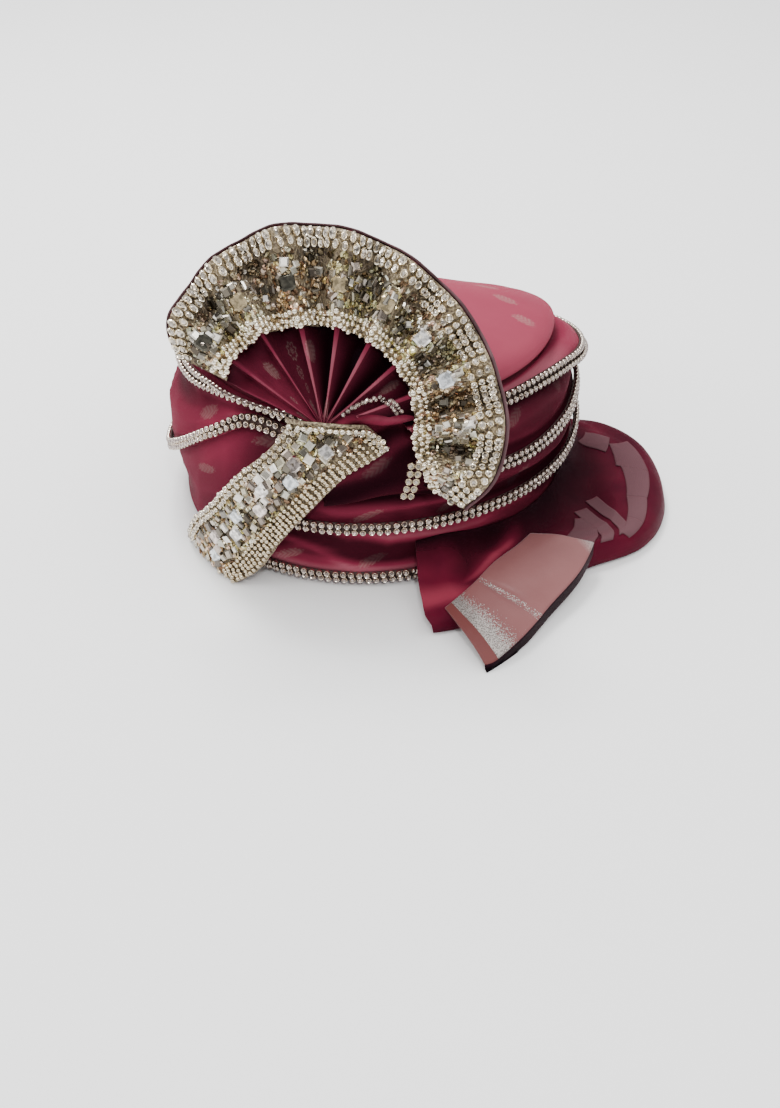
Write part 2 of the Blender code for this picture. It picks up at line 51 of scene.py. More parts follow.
bpy.context.scene.camera = camera

floor_bm = bmesh.new()
bmesh.ops.create_grid(floor_bm, x_segments=1, y_segments=1, size=4.0)
floor_mesh = bpy.data.meshes.new("floor")
floor_bm.to_mesh(floor_mesh)
floor_bm.free()
floor = bpy.data.objects.new("floor", floor_mesh)
bpy.context.scene.collection.objects.link(floor)
floor_material = bpy.data.materials.new("white floor")
floor_material.use_nodes = True
floor_shader = floor_material.node_tree.nodes["Principled BSDF"]
floor_shader.inputs["Base Color"].default_value = (0.95, 0.95, 0.95, 1.0)
floor_shader.inputs["Roughness"].default_value = 0.8
floor_mesh.materials.append(floor_material)

# The studio's ceiling is brighter than its walls
HORIZON = (0.22, 0.22, 0.23, 1.0)
ZENITH = (1.9, 1.9, 1.9, 1.0)
world = bpy.data.worlds.new("studio")
world.use_nodes = True
sky_tree = world.node_tree
sky_way = sky_tree.nodes.new("ShaderNodeTexCoord").outputs["Generated"]
sky_parts = sky_tree.nodes.new("ShaderNodeSeparateXYZ")
sky_tree.links.new(sky_way, sky_parts.inputs[0])
sky_height = sky_tree.nodes.new("ShaderNodeMapRange")
sky_height.inputs["From Min"].default_value = 0.05
sky_height.inputs["From Max"].default_value = 0.85
sky_tree.links.new(sky_parts.outputs["Z"], sky_height.inputs["Value"])
sky_blend = sky_tree.nodes.new("ShaderNodeMix")
sky_blend.data_type = "RGBA"
sky_blend.inputs[6].default_value = HORIZON
sky_blend.inputs[7].default_value = ZENITH
sky_tree.links.new(sky_height.outputs["Result"], sky_blend.inputs[0])
sky_tree.links.new(sky_blend.outputs[2], sky_tree.nodes["Background"].inputs["Color"])
bpy.context.scene.world = world


def studio_light(name, place, size, power):
    """A soft square light that faces the turban."""
    light = bpy.data.lights.new(name, "AREA")
    light.size = size
    light.energy = power
    made = bpy.data.objects.new(name, light)
    made.location = place
    made.rotation_euler = (Vector((0.0, 0.0, 0.06)) - Vector(place)).to_track_quat("-Z", "Y").to_euler()
    bpy.context.scene.collection.objects.link(made)


studio_light("key_above_behind", (-0.55, 0.60, 1.55), 0.6, 34.0)
studio_light("fill_front_left", (-1.3, -0.9, 1.0), 0.5, 7.0)
studio_light("glint_front", (0.5, -1.2, 1.3), 0.16, 8.0)

# Wound crown
# The crown is silk wound over a stiff lining: an oval tube with a low waist under its puffed top,
# which falls towards the back. Inside it is lined with plain cotton round the head opening.
CROWN_WIDTH = 0.232
CROWN_LENGTH = 0.256
CROWN_HEIGHT = 0.118
OPENING_WIDTH = 0.160
OPENING_LENGTH = 0.196
OPENING_DEPTH = 0.095
CROWN_HEIGHTS = (0.00, 0.25, 0.50, 0.70, 0.82, 0.885, 0.920, 0.955, 0.982, 0.996, 1.000, 1.002)
CROWN_WIDTHS = (0.935, 0.985, 1.000, 0.965, 0.905, 0.885, 0.935, 0.930, 0.850, 0.660, 0.300, 0.000)
OPENING_HEIGHTS = (0.00, 0.35, 0.65, 0.85, 0.96, 1.00)
OPENING_WIDTHS = (1.000, 0.985, 0.890, 0.680, 0.380, 0.000)
LEAN_TURNS = (0, 60, 85, 105, 130, 155, 180)
LEAN_HEIGHTS = (1.00, 1.00, 0.985, 0.945, 0.835, 0.725, 0.675)
LEAN_WIDTH = 0.86
LEAN_POWER = 1.6
TOP_PUFF = 0.005
TOP_DENT = 0.0035
ROUND_PUFF = 0.012


def follow(keys, values, at):
    """Smooth value, at each place, of the curve through the keys and values."""
    keys = np.asarray(keys, float)
    values = np.asarray(values, float)
    at = np.clip(np.asarray(at, float), keys[0], keys[-1])
    k = np.clip(np.searchsorted(keys, at, side="right") - 1, 0, len(keys) - 2)
    slopes = np.empty_like(values)
    slopes[1:-1] = (values[2:] - values[:-2]) / (keys[2:] - keys[:-2])
    slopes[0] = (values[1] - values[0]) / (keys[1] - keys[0])
    slopes[-1] = (values[-1] - values[-2]) / (keys[-1] - keys[-2])
    span = keys[k + 1] - keys[k]
    t = (at - keys[k]) / span
    return (
        values[k] * (2 * t**3 - 3 * t**2 + 1)
        + slopes[k] * span * (t**3 - 2 * t**2 + t)
        + values[k + 1] * (3 * t**2 - 2 * t**3)
        + slopes[k + 1] * span * (t**3 - t**2)
    )


def lean(turn):
    return follow(LEAN_TURNS, LEAN_HEIGHTS, np.abs((np.asarray(turn, float) + 180) % 360 - 180))


def crown_height(turn, width=1.0):
    return CROWN_HEIGHT * (1 - (1 - lean(turn)) * np.minimum(width / LEAN_WIDTH, 1.0) ** LEAN_POWER)


def crown_point(turn, height, off=0.0):
    """Points beside the crown's cloth, at turns in degrees from the front and shares of its height."""
    turn, height, off = np.broadcast_arrays(*[np.asarray(a, float) for a in (turn, height, off)])
    share = follow(CROWN_HEIGHTS, CROWN_WIDTHS, height)
    angle = np.radians(turn)
    half_width = CROWN_WIDTH / 2 * share
    half_length = CROWN_LENGTH / 2 * share
    out_x, out_y = np.sin(angle) * half_length, -np.cos(angle) * half_width
    size = np.maximum(np.hypot(out_x, out_y), 1e-9)
    x = np.sin(angle) * half_width + out_x / size * off
    y = -np.cos(angle) * half_length + out_y / size * off
    return np.stack([x, y, height * crown_height(turn)], axis=-1)


def rise(at, start, span):
    """0 up to the start, and from there evenly up to 1 over the span."""
    return np.clip((at - start) / span, 0, 1)


def fall(at, end, span):
    """1 until the span before the end, and 0 from the end on."""
    return np.clip((end - at) / span, 0, 1)


def bell(at, middle, width, power=2):
    """1 at the middle, and close to 0 beyond the width."""
    return np.exp(-(((at - middle) / width) ** power))


def ripples(x, y, seed=0.0):
    """Soft uneven noise from -1 to 1 at each place."""
    flat = zip(np.ravel(x), np.ravel(y))
    return np.array([noise.noise(Vector((a, b, seed))) for a, b in flat]).reshape(np.shape(x))


def crease(x, y, seed=0.0):
    """Noise drawn out into narrow raised folds, from 0 to 1."""
    return (1 - np.abs(ripples(x, y, seed)) * 1.6).clip(0, 1) ** 2.2


def cloth_grid(name, columns, rows, place, metres, ring=False, shades=None):
    """A sheet bent from a flat grid by place(u, v), with metres(u, v) as the cloth's own coordinates."""
    bm = bmesh.new()
    bmesh.ops.create_grid(bm, x_segments=columns, y_segments=rows, size=0.5)
    bm.verts.index_update()
    u = np.array([v.co.x + 0.5 for v in bm.verts])
    v = np.array([v.co.y + 0.5 for v in bm.verts])
    spots = place(u, v)
    across, along = metres(u, v)
    uv = bm.loops.layers.uv.new("cloth")
    # Each point keeps shades(u, v) as painted light and shade for its material: under 1 painted shade, over 1
    # a painted highlight
    shade = bm.verts.layers.float.new("painted_shading")
    depth = np.ones(len(u)) if shades is None else shades(u, v)
    for face in bm.faces:
        for loop in face.loops:
            i = loop.vert.index
            loop[uv].uv = (across[i], along[i])
    for i, vert in enumerate(bm.verts):
        vert.co = spots[i]
        vert[shade] = depth[i]
    if ring:
        bmesh.ops.remove_doubles(bm, verts=list(bm.verts), dist=1e-6)
    bm.normal_update()
    mesh = bpy.data.meshes.new(name)
    bm.to_mesh(mesh)
    bm.free()
    mesh.shade_smooth()
    made = bpy.data.objects.new(name, mesh)
    bpy.context.scene.collection.objects.link(made)
    return made


class Value:
    """A number or a colour that a material's nodes work out, so that they can be written as arithmetic."""

    def __init__(self, socket):
        self.socket = socket

    def __add__(self, other):
        return math_node("ADD", self, other)

    def __sub__(self, other):
        return math_node("SUBTRACT", self, other)

    def __rsub__(self, other):
        return math_node("SUBTRACT", other, self)

    def __mul__(self, other):
        return math_node("MULTIPLY", self, other)

    def __truediv__(self, other):
        return math_node("DIVIDE", self, other)

    def __pow__(self, other):
        return math_node("POWER", self, other)

    def __mod__(self, other):
        return math_node("FLOORED_MODULO", self, other)

    def __gt__(self, other):
        return math_node("GREATER_THAN", self, other)

    def __lt__(self, other):
        return math_node("LESS_THAN", self, other)

    def __abs__(self):
        return math_node("ABSOLUTE", self)


def wire(value, socket):
    """Gives a socket a number, a colour or another node's value."""
    if isinstance(value, Value):
        socket.id_data.links.new(value.socket, socket)
    elif isinstance(value, tuple):
        socket.default_value = (*value, 1.0)
    else:
        socket.default_value = value


def make_node(values, kind, **settings):
    """A new node in the material that the first Value among the values belongs to."""
    tree = next(value.socket.id_data for value in values if isinstance(value, Value))
    made = tree.nodes.new("ShaderNode" + kind)
    for key, value in settings.items():
        setattr(made, key, value)
    return made


def math_node(operation, *values):
    made = make_node(values, "Math", operation=operation)
    for value, socket in zip(values, made.inputs):
        wire(value, socket)
    return Value(made.outputs[0])


def clamp(value):
    value.socket.node.use_clamp = True
    return value


def parts_of(place):
    """The x, y and z of a place."""
    made = make_node([place], "SeparateXYZ")
    wire(place, made.inputs[0])
    return [Value(socket) for socket in made.outputs]


def mix(share, first, second, mode="MIX"):
    made = make_node((share, first, second), "Mix", data_type="RGBA", blend_type=mode)
    for value, socket in zip((share, first, second), (made.inputs[0], made.inputs[6], made.inputs[7])):
        wire(value, socket)
    return Value(made.outputs[2])


def speckle(place, scale, detail=2.0):
    made = make_node([place], "TexNoise")
    wire(place, made.inputs["Vector"])
    wire(scale, made.inputs["Scale"])
    wire(detail, made.inputs["Detail"])
    return Value(made.outputs["Fac"])


def new_material(name):
    """A material with its places on the body, and read(kind, output) for its cloth's own values."""
    material = bpy.data.materials.new(name)
    material.use_nodes = True
    tree = material.node_tree

    def read(kind, output, **settings):
        made = tree.nodes.new("ShaderNode" + kind)
        for key, value in settings.items():
            setattr(made, key, value)
        return Value(made.outputs[output])

    return material, read("TexCoord", "Object"), read


def finish(material, bump=None, **inputs):
    """Sets the shader's inputs, named with _ for a space; bump is (height, strength, distance)."""
    shader = material.node_tree.nodes["Principled BSDF"]
    for key, value in inputs.items():
        wire(value, shader.inputs[key.replace("_", " ")])
    if bump:
        made = make_node(bump, "Bump")
        for value, key in zip(bump, ("Height", "Strength", "Distance")):
            wire(value, made.inputs[key])
        wire(Value(made.outputs[0]), shader.inputs["Normal"])
    return material


def dress(piece, materials=(), node_name=None, wall=None):
    """Gives a piece its materials and its wall behind the drawn surface, and fixes it on the body."""
    for material in materials:
        piece.data.materials.append(material)
    if wall:
        solid = piece.modifiers.new("wall", "SOLIDIFY")
        solid.thickness = wall
        solid.offset = -1.0
    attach(piece, "root")
    if node_name:
        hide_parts(node_name)
    return piece


# Steps of the woven leaves' veins and of the silk's threads, in metres
VEIN_STEP = 0.0030
THREAD_STEP = 0.0007


def silk(
    name, deep, lit, sprigs=0.0, step=(0.05, 0.05), size=(0.005, 0.005), turned=0.0, shift=(0.0, 0.0),
    within=None, medallions=(),
):
    """Woven silk with a soft sheen: fine warp and weft, uneven dye, and small woven leaf sprigs.

    The value sprigs is how strongly they show, step and size are in metres, and turned is their slant.
    Sprigs stay within an oval given by its half sizes. Medallions are (x, y, radius) on the cloth.
    """
    material, body, read = new_material(name)
    cloth = read("UVMap", 0, uv_map="cloth")
    painted_shading = read("Attribute", "Fac", attribute_name="painted_shading")
    cloth_x, cloth_y, _ = parts_of(cloth)
    x, y = cloth_x + shift[0], cloth_y + shift[1]

    # Sprigs stand in rows, with every second row shifted by half a step
    step_x, step_y = step
    row = math_node("FLOOR", y / step_y)
    odd = math_node("PINGPONG", row, 1.0) * (step_x / 2)
    cell_x = (x + odd) % step_x - step_x / 2
    cell_y = y % step_y - step_y / 2
    cos, sin = math.cos(turned), math.sin(turned)
    leaf_x = cell_x * cos + cell_y * sin
    leaf_y = cell_y * cos - cell_x * sin
    ragged = (speckle(cloth, 700.0) - 0.5) * 2.0
    inside = 1.0 - (abs(leaf_x / size[0]) ** 2.0 + abs(leaf_y / size[1]) ** 2.0 + ragged)
    leaf = clamp(inside * 2.2)
    veins = math_node("SINE", (leaf_x + abs(leaf_y)) * (math.tau / VEIN_STEP))
    veins = clamp(veins * 0.22 + 0.66)
    motif = leaf * veins * sprigs
    if within:
        out = [(abs(at) / half) ** 2.0 for at, half in zip(parts_of(body), within)]
        left_in = 1.0 - (out[0] + out[1])
        motif = motif * clamp(left_in * 12.0)
    for centre_x, centre_y, radius in medallions:
        to_x, to_y = cloth_x - centre_x, cloth_y - centre_y
        away = math_node("SQRT", to_x * to_x + to_y * to_y)
        petals = math_node("SINE", math_node("ARCTAN2", to_y, to_x) * 8.0)
        edge = petals * 0.12 + ragged * 0.25
        share = away / radius + edge
        rings = math_node("SINE", share * (math.tau * 1.6))
        drawn = clamp((rings + 0.25) * 0.55)
        inside = clamp((1.0 - share) * 5.0)
        motif = math_node("MAXIMUM", motif, drawn * inside)

    dye = speckle(body, 16.0, 3.0)
    dyed = clamp((dye - 0.35) * 1.6)
    colour = mix(dyed, deep, lit)
    colour = mix(motif, colour, (0.3, 0.19, 0.17))
    # Painted light and shade from the sheet's shading values: over 1 blends to a painted pink highlight,
    # under 1 darkens to painted shade
    painted_highlight = clamp(painted_shading - 1.0)
    colour = mix(painted_highlight, colour, (0.34, 0.11, 0.14))
    shade = mix(math_node("MINIMUM", painted_shading, 1.0), (0.03, 0.022, 0.045), (1.0, 1.0, 1.0))
    colour = mix(1.0, colour, shade, "MULTIPLY")

    # Warp and weft, too fine to see from afar, with small slubs
    warp, weft = (math_node("SINE", at * (math.tau / THREAD_STEP)) * 0.25 for at in (x, y))
    grain = warp + weft + speckle(cloth, 260.0) * 0.9 + motif * 0.8
    return finish(
        material, bump=(grain, 0.22, 0.0006), Base_Color=colour, Roughness=dye * 0.12 + 0.56,
        Sheen_Weight=0.10, Sheen_Roughness=0.45, Sheen_Tint=(0.95, 0.12, 0.22), Specular_IOR_Level=0.02,
    )


# The sprigs on the top lie in rows that slant down to the right
SPRIG_ROW = (0.56, -0.83)
# The crown's silk is the wraps' silk painted lighter, as painted light falling on its top
crown_silk_painted_lit = silk(
    "crown silk painted lit", deep=(0.235, 0.040, 0.066), lit=(0.305, 0.057, 0.086), sprigs=0.50, step=(0.0292, 0.040),
    size=(0.0098, 0.0044), turned=0.47, shift=(-0.0141, -0.0542), within=(0.102, 0.112),
)
maroon_silk = silk(
    "maroon silk", deep=(0.150, 0.015, 0.035), lit=(0.24, 0.027, 0.056), sprigs=0.5, step=(0.052, 0.040),
    size=(0.0085, 0.0042), turned=0.5,
)
cotton_lining, lining_place, _ = new_material("cotton lining")
finish(
    cotton_lining, Roughness=0.9,
    Base_Color=mix(speckle(lining_place, 300.0), (0.30, 0.11, 0.12), (0.42, 0.18, 0.18)),
)

CROWN_COLUMNS = 200
INNER_ROWS = 26
OUTER_ROWS = 74


def crown_place(u, v):
    """From the roof of the head opening, over the rim and up the outside to the middle of the top."""
    turn = 360 * u
    angle = np.radians(turn)
    split = INNER_ROWS / (INNER_ROWS + OUTER_ROWS)
    inner = v < split - 1e-6
    low = np.clip(1 - v / split, 0, 1)
    up = np.clip((v - split) / (1 - split), 0, 1)
    # Rows are closer together near the top, where the section turns over
    inner_share = low ** 0.8
    wide_in = follow(OPENING_HEIGHTS, OPENING_WIDTHS, inner_share)
    path = np.linspace(0, 1, len(CROWN_HEIGHTS))
    high = follow(path, CROWN_HEIGHTS, up)
    wide_out = np.maximum(follow(path, CROWN_WIDTHS, up), 0)
    wide_out[v > 1 - 1e-6] = 0
    wide_in[v < 1e-6] = 0
    puff = bell(high, 0.975, 0.035) * (wide_out > 0.2)
    soft = ripples(np.sin(angle) * 1.6, np.cos(angle) * 1.6 + high * 4, 3.0)
    dents = ripples(np.sin(angle) * wide_out * 1.9, np.cos(angle) * wide_out * 1.9, 8.0)
    grow = 1 + ROUND_PUFF * puff * soft
    x = np.sin(angle) * np.where(inner, OPENING_WIDTH / 2 * wide_in, CROWN_WIDTH / 2 * wide_out * grow)
    y = -np.cos(angle) * np.where(inner, OPENING_LENGTH / 2 * wide_in, CROWN_LENGTH / 2 * wide_out * grow)
    z = np.where(inner, OPENING_DEPTH * inner_share, crown_height(turn, wide_out) * high)
    z = z + np.where(~inner & (high > 0.94), TOP_DENT * dents * np.minimum(1, (1.0 - wide_out) * 4), 0)
    z = z + np.where(inner, 0, TOP_PUFF * rise(high, 0.92, 0.07))
    return np.stack([x, y, z], axis=-1)


def crown_metres(u, v):
    spots = crown_place(u, v)
    top = v > 0.755
    round_x = np.radians(360 * u) * 0.12
    row_x, row_y = SPRIG_ROW
    along = spots[:, 0] * row_x + spots[:, 1] * row_y
    beside = spots[:, 0] * -row_y + spots[:, 1] * row_x
    return np.where(top, along, round_x), np.where(top, beside, spots[:, 2])


def crown_shades(u, v):
    """The waist under the puffed top lies in its shade."""
    spots = crown_place(u, v)
    high = spots[:, 2] / crown_height(360 * u)
    waist = bell(high, 0.885, 0.030)
    return 1 - 0.85 * waist


crown = cloth_grid(
    "crown_cloth", CROWN_COLUMNS, INNER_ROWS + OUTER_ROWS, crown_place, crown_metres, ring=True,
    shades=crown_shades,
)
crown_bm = bmesh.new()
crown_bm.from_mesh(crown.data)
bmesh.ops.recalc_face_normals(crown_bm, faces=list(crown_bm.faces))
if crown_bm.calc_volume(signed=True) < 0:
    bmesh.ops.reverse_faces(crown_bm, faces=list(crown_bm.faces))
for face in crown_bm.faces:
    middle = face.calc_center_median()
    in_x, in_y = middle.x / (OPENING_WIDTH / 2), middle.y / (OPENING_LENGTH / 2)
    if middle.z < OPENING_DEPTH + 0.001 and in_x**2 + in_y**2 < 1.02 and face.normal.z < 0.2:
        face.material_index = 1
crown_bm.to_mesh(crown.data)
crown_bm.free()
dress(crown, (crown_silk_painted_lit, cotton_lining), "crown")

# Wraps
# Five strips of the same silk, folded double, are wound round the crown. Each is tucked in at its top
# under the one above and stands off a little at its lower edge, with long soft folds along it.
CLOTH = 0.002
WRAP_WALL = 0.0016
TUCKED_OFF = 0.0015
FREE_OFF = 0.0064
FULL_FOLD = 0.0032
WRAP_BULGE = 0.0007
LAYER_GAP = 0.0009
SEAM_GAP = 0.0012
NECK_SHARE = 0.872
RIM_SHARE = 0.030
TUCK_SHARE = 0.45
TUCK_LIMIT_SHARE = 0.085
FLARE_POWER = 0.75
EDGE_TURNS = (-184, -150, -120, -95, -75, -60, -45, -30, -19, -4, 20, 50, 80, 95, 110, 140, 176)
EDGE_HEIGHTS = {
    "top": (0.73, 0.76, 0.79, 0.79, 0.79, 0.80, 0.815, 0.85, 0.862, 0.845, 0.832, 0.822, 0.80, 0.775, 0.75,
            0.73, 0.73),
    "second": (0.60, 0.43, 0.26, 0.215, 0.24, 0.315, 0.475, 0.665, 0.777, 0.761, 0.67, 0.55, 0.55, 0.585,
               0.605, 0.62, 0.60),
    "third": (0.47, 0.42, 0.40, 0.38, 0.38, 0.36, 0.35, 0.35, 0.35, 0.348, 0.348, 0.345, 0.335, 0.35, 0.37,
              0.425, 0.47),
}
TOP_LIP_REACH = 0.0105
LIP_ROLL = 0.45
LIP_TURNS = (50, 70, 85, 97, 110, 125, 145, 165)
LIP_SHARES = (0.0, 0.10, 0.50, 0.95, 1.00, 0.80, 0.30, 0.0)
ABOVE = {"top": None, "second": "top", "third": "second", "rim": "third", "left": "second"}
RING_START = -184.0
RING_END = 176.0
SEAM_HEIGHTS = (0.0, 0.35, 0.72, 0.86)
SEAM_TURNS = (-31.0, -17.0, -1.0, 4.0)


def edge_height(turn, which):
    """Share of the crown's height at which a wrap's free edge lies."""
    turn = np.asarray(turn, float)
    if which in ("rim", "left"):
        return np.full(turn.shape, RIM_SHARE)
    return follow(EDGE_TURNS, EDGE_HEIGHTS[which], turn)


def tuck_height(turn, which):
    """Share of the crown's height at which a wrap goes in under the one above."""
    above = ABOVE[which]
    if above is None:
        return np.full(np.shape(turn), NECK_SHARE)
    edge = edge_height(turn, above)
    return edge + np.minimum(TUCK_LIMIT_SHARE, TUCK_SHARE * (tuck_height(turn, above) - edge))


def lip(turn, which):
    """How far the top wrap's free edge stands off beyond the others, at its right side."""
    if which != "top":
        return np.zeros(np.shape(turn))
    return TOP_LIP_REACH * follow(LIP_TURNS, LIP_SHARES, turn)


def along_crown(length):
    return math.degrees(length / (CROWN_WIDTH / 2))


def wind(name, node_name, which, start, end, columns, rows, folds, ring=False):
    """One wrap, with folds(turn, v) in metres added outwards between its edges."""

    def turn_and_height(u, v):
        middle = start(0.0) + (end(0.0) - start(0.0)) * u
        low, high = edge_height(middle, which), tuck_height(middle, which)
        height = low + (high - low) * v
        first, last = start(height), end(height)
        turn = first + (last - first) * u
        low, high = edge_height(turn, which), tuck_height(turn, which)
        return turn, low + (high - low) * v

    def place(u, v):
        turn, height = turn_and_height(u, v)
        stand = FREE_OFF + (TUCKED_OFF - FREE_OFF) * v**FLARE_POWER + WRAP_BULGE * np.sin(math.pi * v)
        stand = stand + lip(turn, which) * (1 - v**3)
        ease = rise(v, 0, 0.18) ** 1.5 * fall(v, 1, 0.15)
        off = stand + CLOTH + folds(turn, v) * ease
        spots = crown_point(turn, height, off)
        # At its right side the top wrap rises in a soft roll above its trim
        spots[:, 2] += LIP_ROLL * lip(turn, which) * np.sin(math.pi * v)
        return spots

    def metres(u, v):
        spots = place(u, v)
        return (start(0.0) + (end(0.0) - start(0.0)) * u) * math.radians(1) * 0.125, spots[:, 2] * 1.15

    # Painted light and shade for the wrap's silk; values over 1 become a painted highlight
    def shades(u, v):
        turn, height = turn_and_height(u, v)
        at_left = fall(turn, -14, 13)
        # Painted shade in the hollows of the folds, weaker far round to the left
        base = 1.0 if which == "top" else 0.60 + 0.45 * at_left
        hollow_shade = np.clip(folds(turn, v) / FULL_FOLD + base, 0.10, 1)
        # Painted shadow under the trim above, weaker on the left
        trim_shadow = 1 - (0.92 - 0.55 * at_left) * rise(v, SHADE_FROM[which], 0.30)
        # Painted shade on the right side, which faces away from the light
        right = rise(turn, 30, 45) * fall(turn, 165, 30)
        painted_shade = 1 - (0.74 if which in ("second", "third", "rim") else 0.0) * right
        # Right of the band the wall lies in the shade of the band and the fan
        beside_band = bell(turn, 21, 20, 4) * rise(height, 0.485, 0.035)
        # The third wrap lies in shade in front, the bottom one catches the floor's light
        lit = {"third": 0.70, "rim": 1.55}.get(which, 1.0) * (1 + 0.12 * at_left)
        # Far round to the left the wraps turn away from the light
        lit = lit * (1 - 0.46 * fall(turn, -27, 12) * rise(turn, -150, 30))
        # Painted light on the top wrap's rolled lip at its right
        if which == "top":
            lit = lit + 0.65 * rise(turn, 36, 20) * (1 - 0.75 * rise(turn, 80, 14))
        return hollow_shade * trim_shadow * painted_shade * (1 - 0.93 * beside_band) * lit

    piece = cloth_grid(name, columns, rows, place, metres, ring, shades)
    return dress(piece, (maroon_silk,), node_name, wall=WRAP_WALL)


# Where each wrap passes into the shade of the trim above it, from its free edge (0) to its top (1)
SHADE_FROM = {"top": 0.80, "second": 0.55, "third": 0.50, "rim": 0.62, "left": 0.72}


def drawn_folds(slant, number, depth, seed):
    """Long folds that run round the crown and climb by `slant` across each turn of 100 degrees."""

    def folds(turn, v):
        across = v * number + turn / 100 * slant
        broad = 0.5 + 0.5 * np.sin(math.tau * (across * 0.62 + 0.35 * ripples(turn / 60, across * 0.6, seed)))
        long_fold = crease(turn / 42 + 7 * seed, across, seed)
        small_fold = crease(turn / 18 + 3 * seed, across * 2.2 + 5, seed + 2.5)
        return depth * (broad**1.6 * 1.0 + long_fold * 0.55 + small_fold * 0.22 - 0.75)

    return folds


def front_fold(folds):
    """One broad fold more, which runs out from under the band to the right."""
    deep = 0.0030

    def more(turn, v):
        window = rise(turn, -2, 8) * fall(turn, 48, 14)
        middle = 0.27 + 0.14 * rise(turn, 8, 26)
        return folds(turn, v) * (1 - 0.6 * window) + deep * window * bell(v, middle, 0.075)

    return more


def seam_turn(height):
    return follow(SEAM_HEIGHTS, SEAM_TURNS, height)


half_seam = along_crown(SEAM_GAP) / 2
wraps = (
    wind("wrap_top_cloth", "wrap_top", "top", lambda h: RING_START, lambda h: RING_END, 360, 16,
         drawn_folds(0.2, 1.0, 0.0012, 1.0), ring=True),
    wind("wrap_second_cloth", "wrap_second", "second", lambda h: RING_START, lambda h: RING_END, 360, 34,
         drawn_folds(0.9, 2.4, 0.0032, 2.0), ring=True),
    wind("wrap_third_cloth", "wrap_third", "third", lambda h: seam_turn(h) + half_seam,
         lambda h: RING_END - half_seam, 220, 40, front_fold(drawn_folds(0.9, 2.6, 0.0036, 3.0))),
    wind("wrap_bottom_cloth", "wrap_bottom", "rim", lambda h: seam_turn(h) + half_seam,
         lambda h: RING_END - half_seam, 220, 36, drawn_folds(0.5, 2.2, 0.0034, 4.0)),
    wind("wrap_left_cloth", "wrap_left", "left", lambda h: RING_START + half_seam,
         lambda h: seam_turn(h) - half_seam, 220, 60, drawn_folds(-1.1, 1.7, 0.0020, 5.0)),
)

# Bead trims
# Each free edge carries two rows of cup-set crystals on a narrow tape, stitched along the wrap's fold.
# The cups are stamped from bright champagne-silver metal, each round a small cut glass stone.
TRIM_WIDTH = 0.0085
TRIM_THICKNESS = 0.0034
TRIM_OVERHANG = 0.0005
TRIM_SETBACK = 0.00405
TRIM_UNDER_BAND = 0.0091
CUP_PITCH = 0.0045
CUP_RADIUS = 0.0021
CUP_SEAT = 0.0010
ROW_EDGES = (0.0001, 0.0023)
TAPE_LOW = 0.0006
TAPE_WIDTH = 0.0070
BAND_RIGHT_TURN = -17.5


def plain_metal(name, colour, roughness, dim_right=1.0):
    """Plated metal with fine wear. On the turban's right side, which lies in shade, it is darker."""
    material, body, _ = new_material(name)
    worn = speckle(body, 700.0, 3.0)
    plated = mix(worn, tuple(c * 0.72 for c in colour), colour)
    if dim_right < 1:
        shaded = clamp((parts_of(body)[0] - 0.055) * 20.0)
        plated = mix(shaded, plated, tuple(c * dim_right for c in colour))
    return finish(material, Base_Color=plated, Roughness=worn * 0.15 + roughness, Metallic=1.0)


def cut_glass(name, colour, metallic=0.85, roughness=0.04):
    """Foil-backed glass, cloudy in places."""
    material, body, _ = new_material(name)
    cloud = speckle(body, 420.0, 2.0)
    shown = mix(clamp((cloud - 0.40) * 5.0), tuple(c * 0.45 for c in colour), colour)
    return finish(material, Base_Color=shown, Roughness=cloud * 0.08 + roughness, Metallic=metallic)


silver = plain_metal("champagne silver", (0.93, 0.84, 0.68), 0.11)
trim_silver = plain_metal("trim silver", (0.76, 0.66, 0.56), 0.11, dim_right=0.52)
trim_glass = cut_glass("trim glass", (0.46, 0.38, 0.35), 0.9, 0.05)
bead_glass = cut_glass("bead glass", (0.60, 0.54, 0.47), 0.9, 0.05)


def turned_shape(profile, sides, stone_from=None):
    """A small shape spun from (radius, height) pairs; its stone's faces lie within stone_from of its axis."""
    bm = bmesh.new()
    points = [bm.verts.new((r, 0.0, z)) for r, z in profile]
    edges = [bm.edges.new(pair) for pair in zip(points, points[1:])]
    bmesh.ops.spin(
        bm, geom=points + edges, cent=(0, 0, 0), axis=(0, 0, 1), angle=math.tau, steps=sides, use_merge=True
    )
    bmesh.ops.remove_doubles(bm, verts=list(bm.verts), dist=1e-5)
    bmesh.ops.recalc_face_normals(bm, faces=list(bm.faces))
    bmesh.ops.triangulate(bm, faces=list(bm.faces))
    for face in bm.faces:
        middle = face.calc_center_median()
        if stone_from and math.hypot(middle.x, middle.y) < stone_from and middle.z > 0.5:
            face.material_index = 1
    return bm


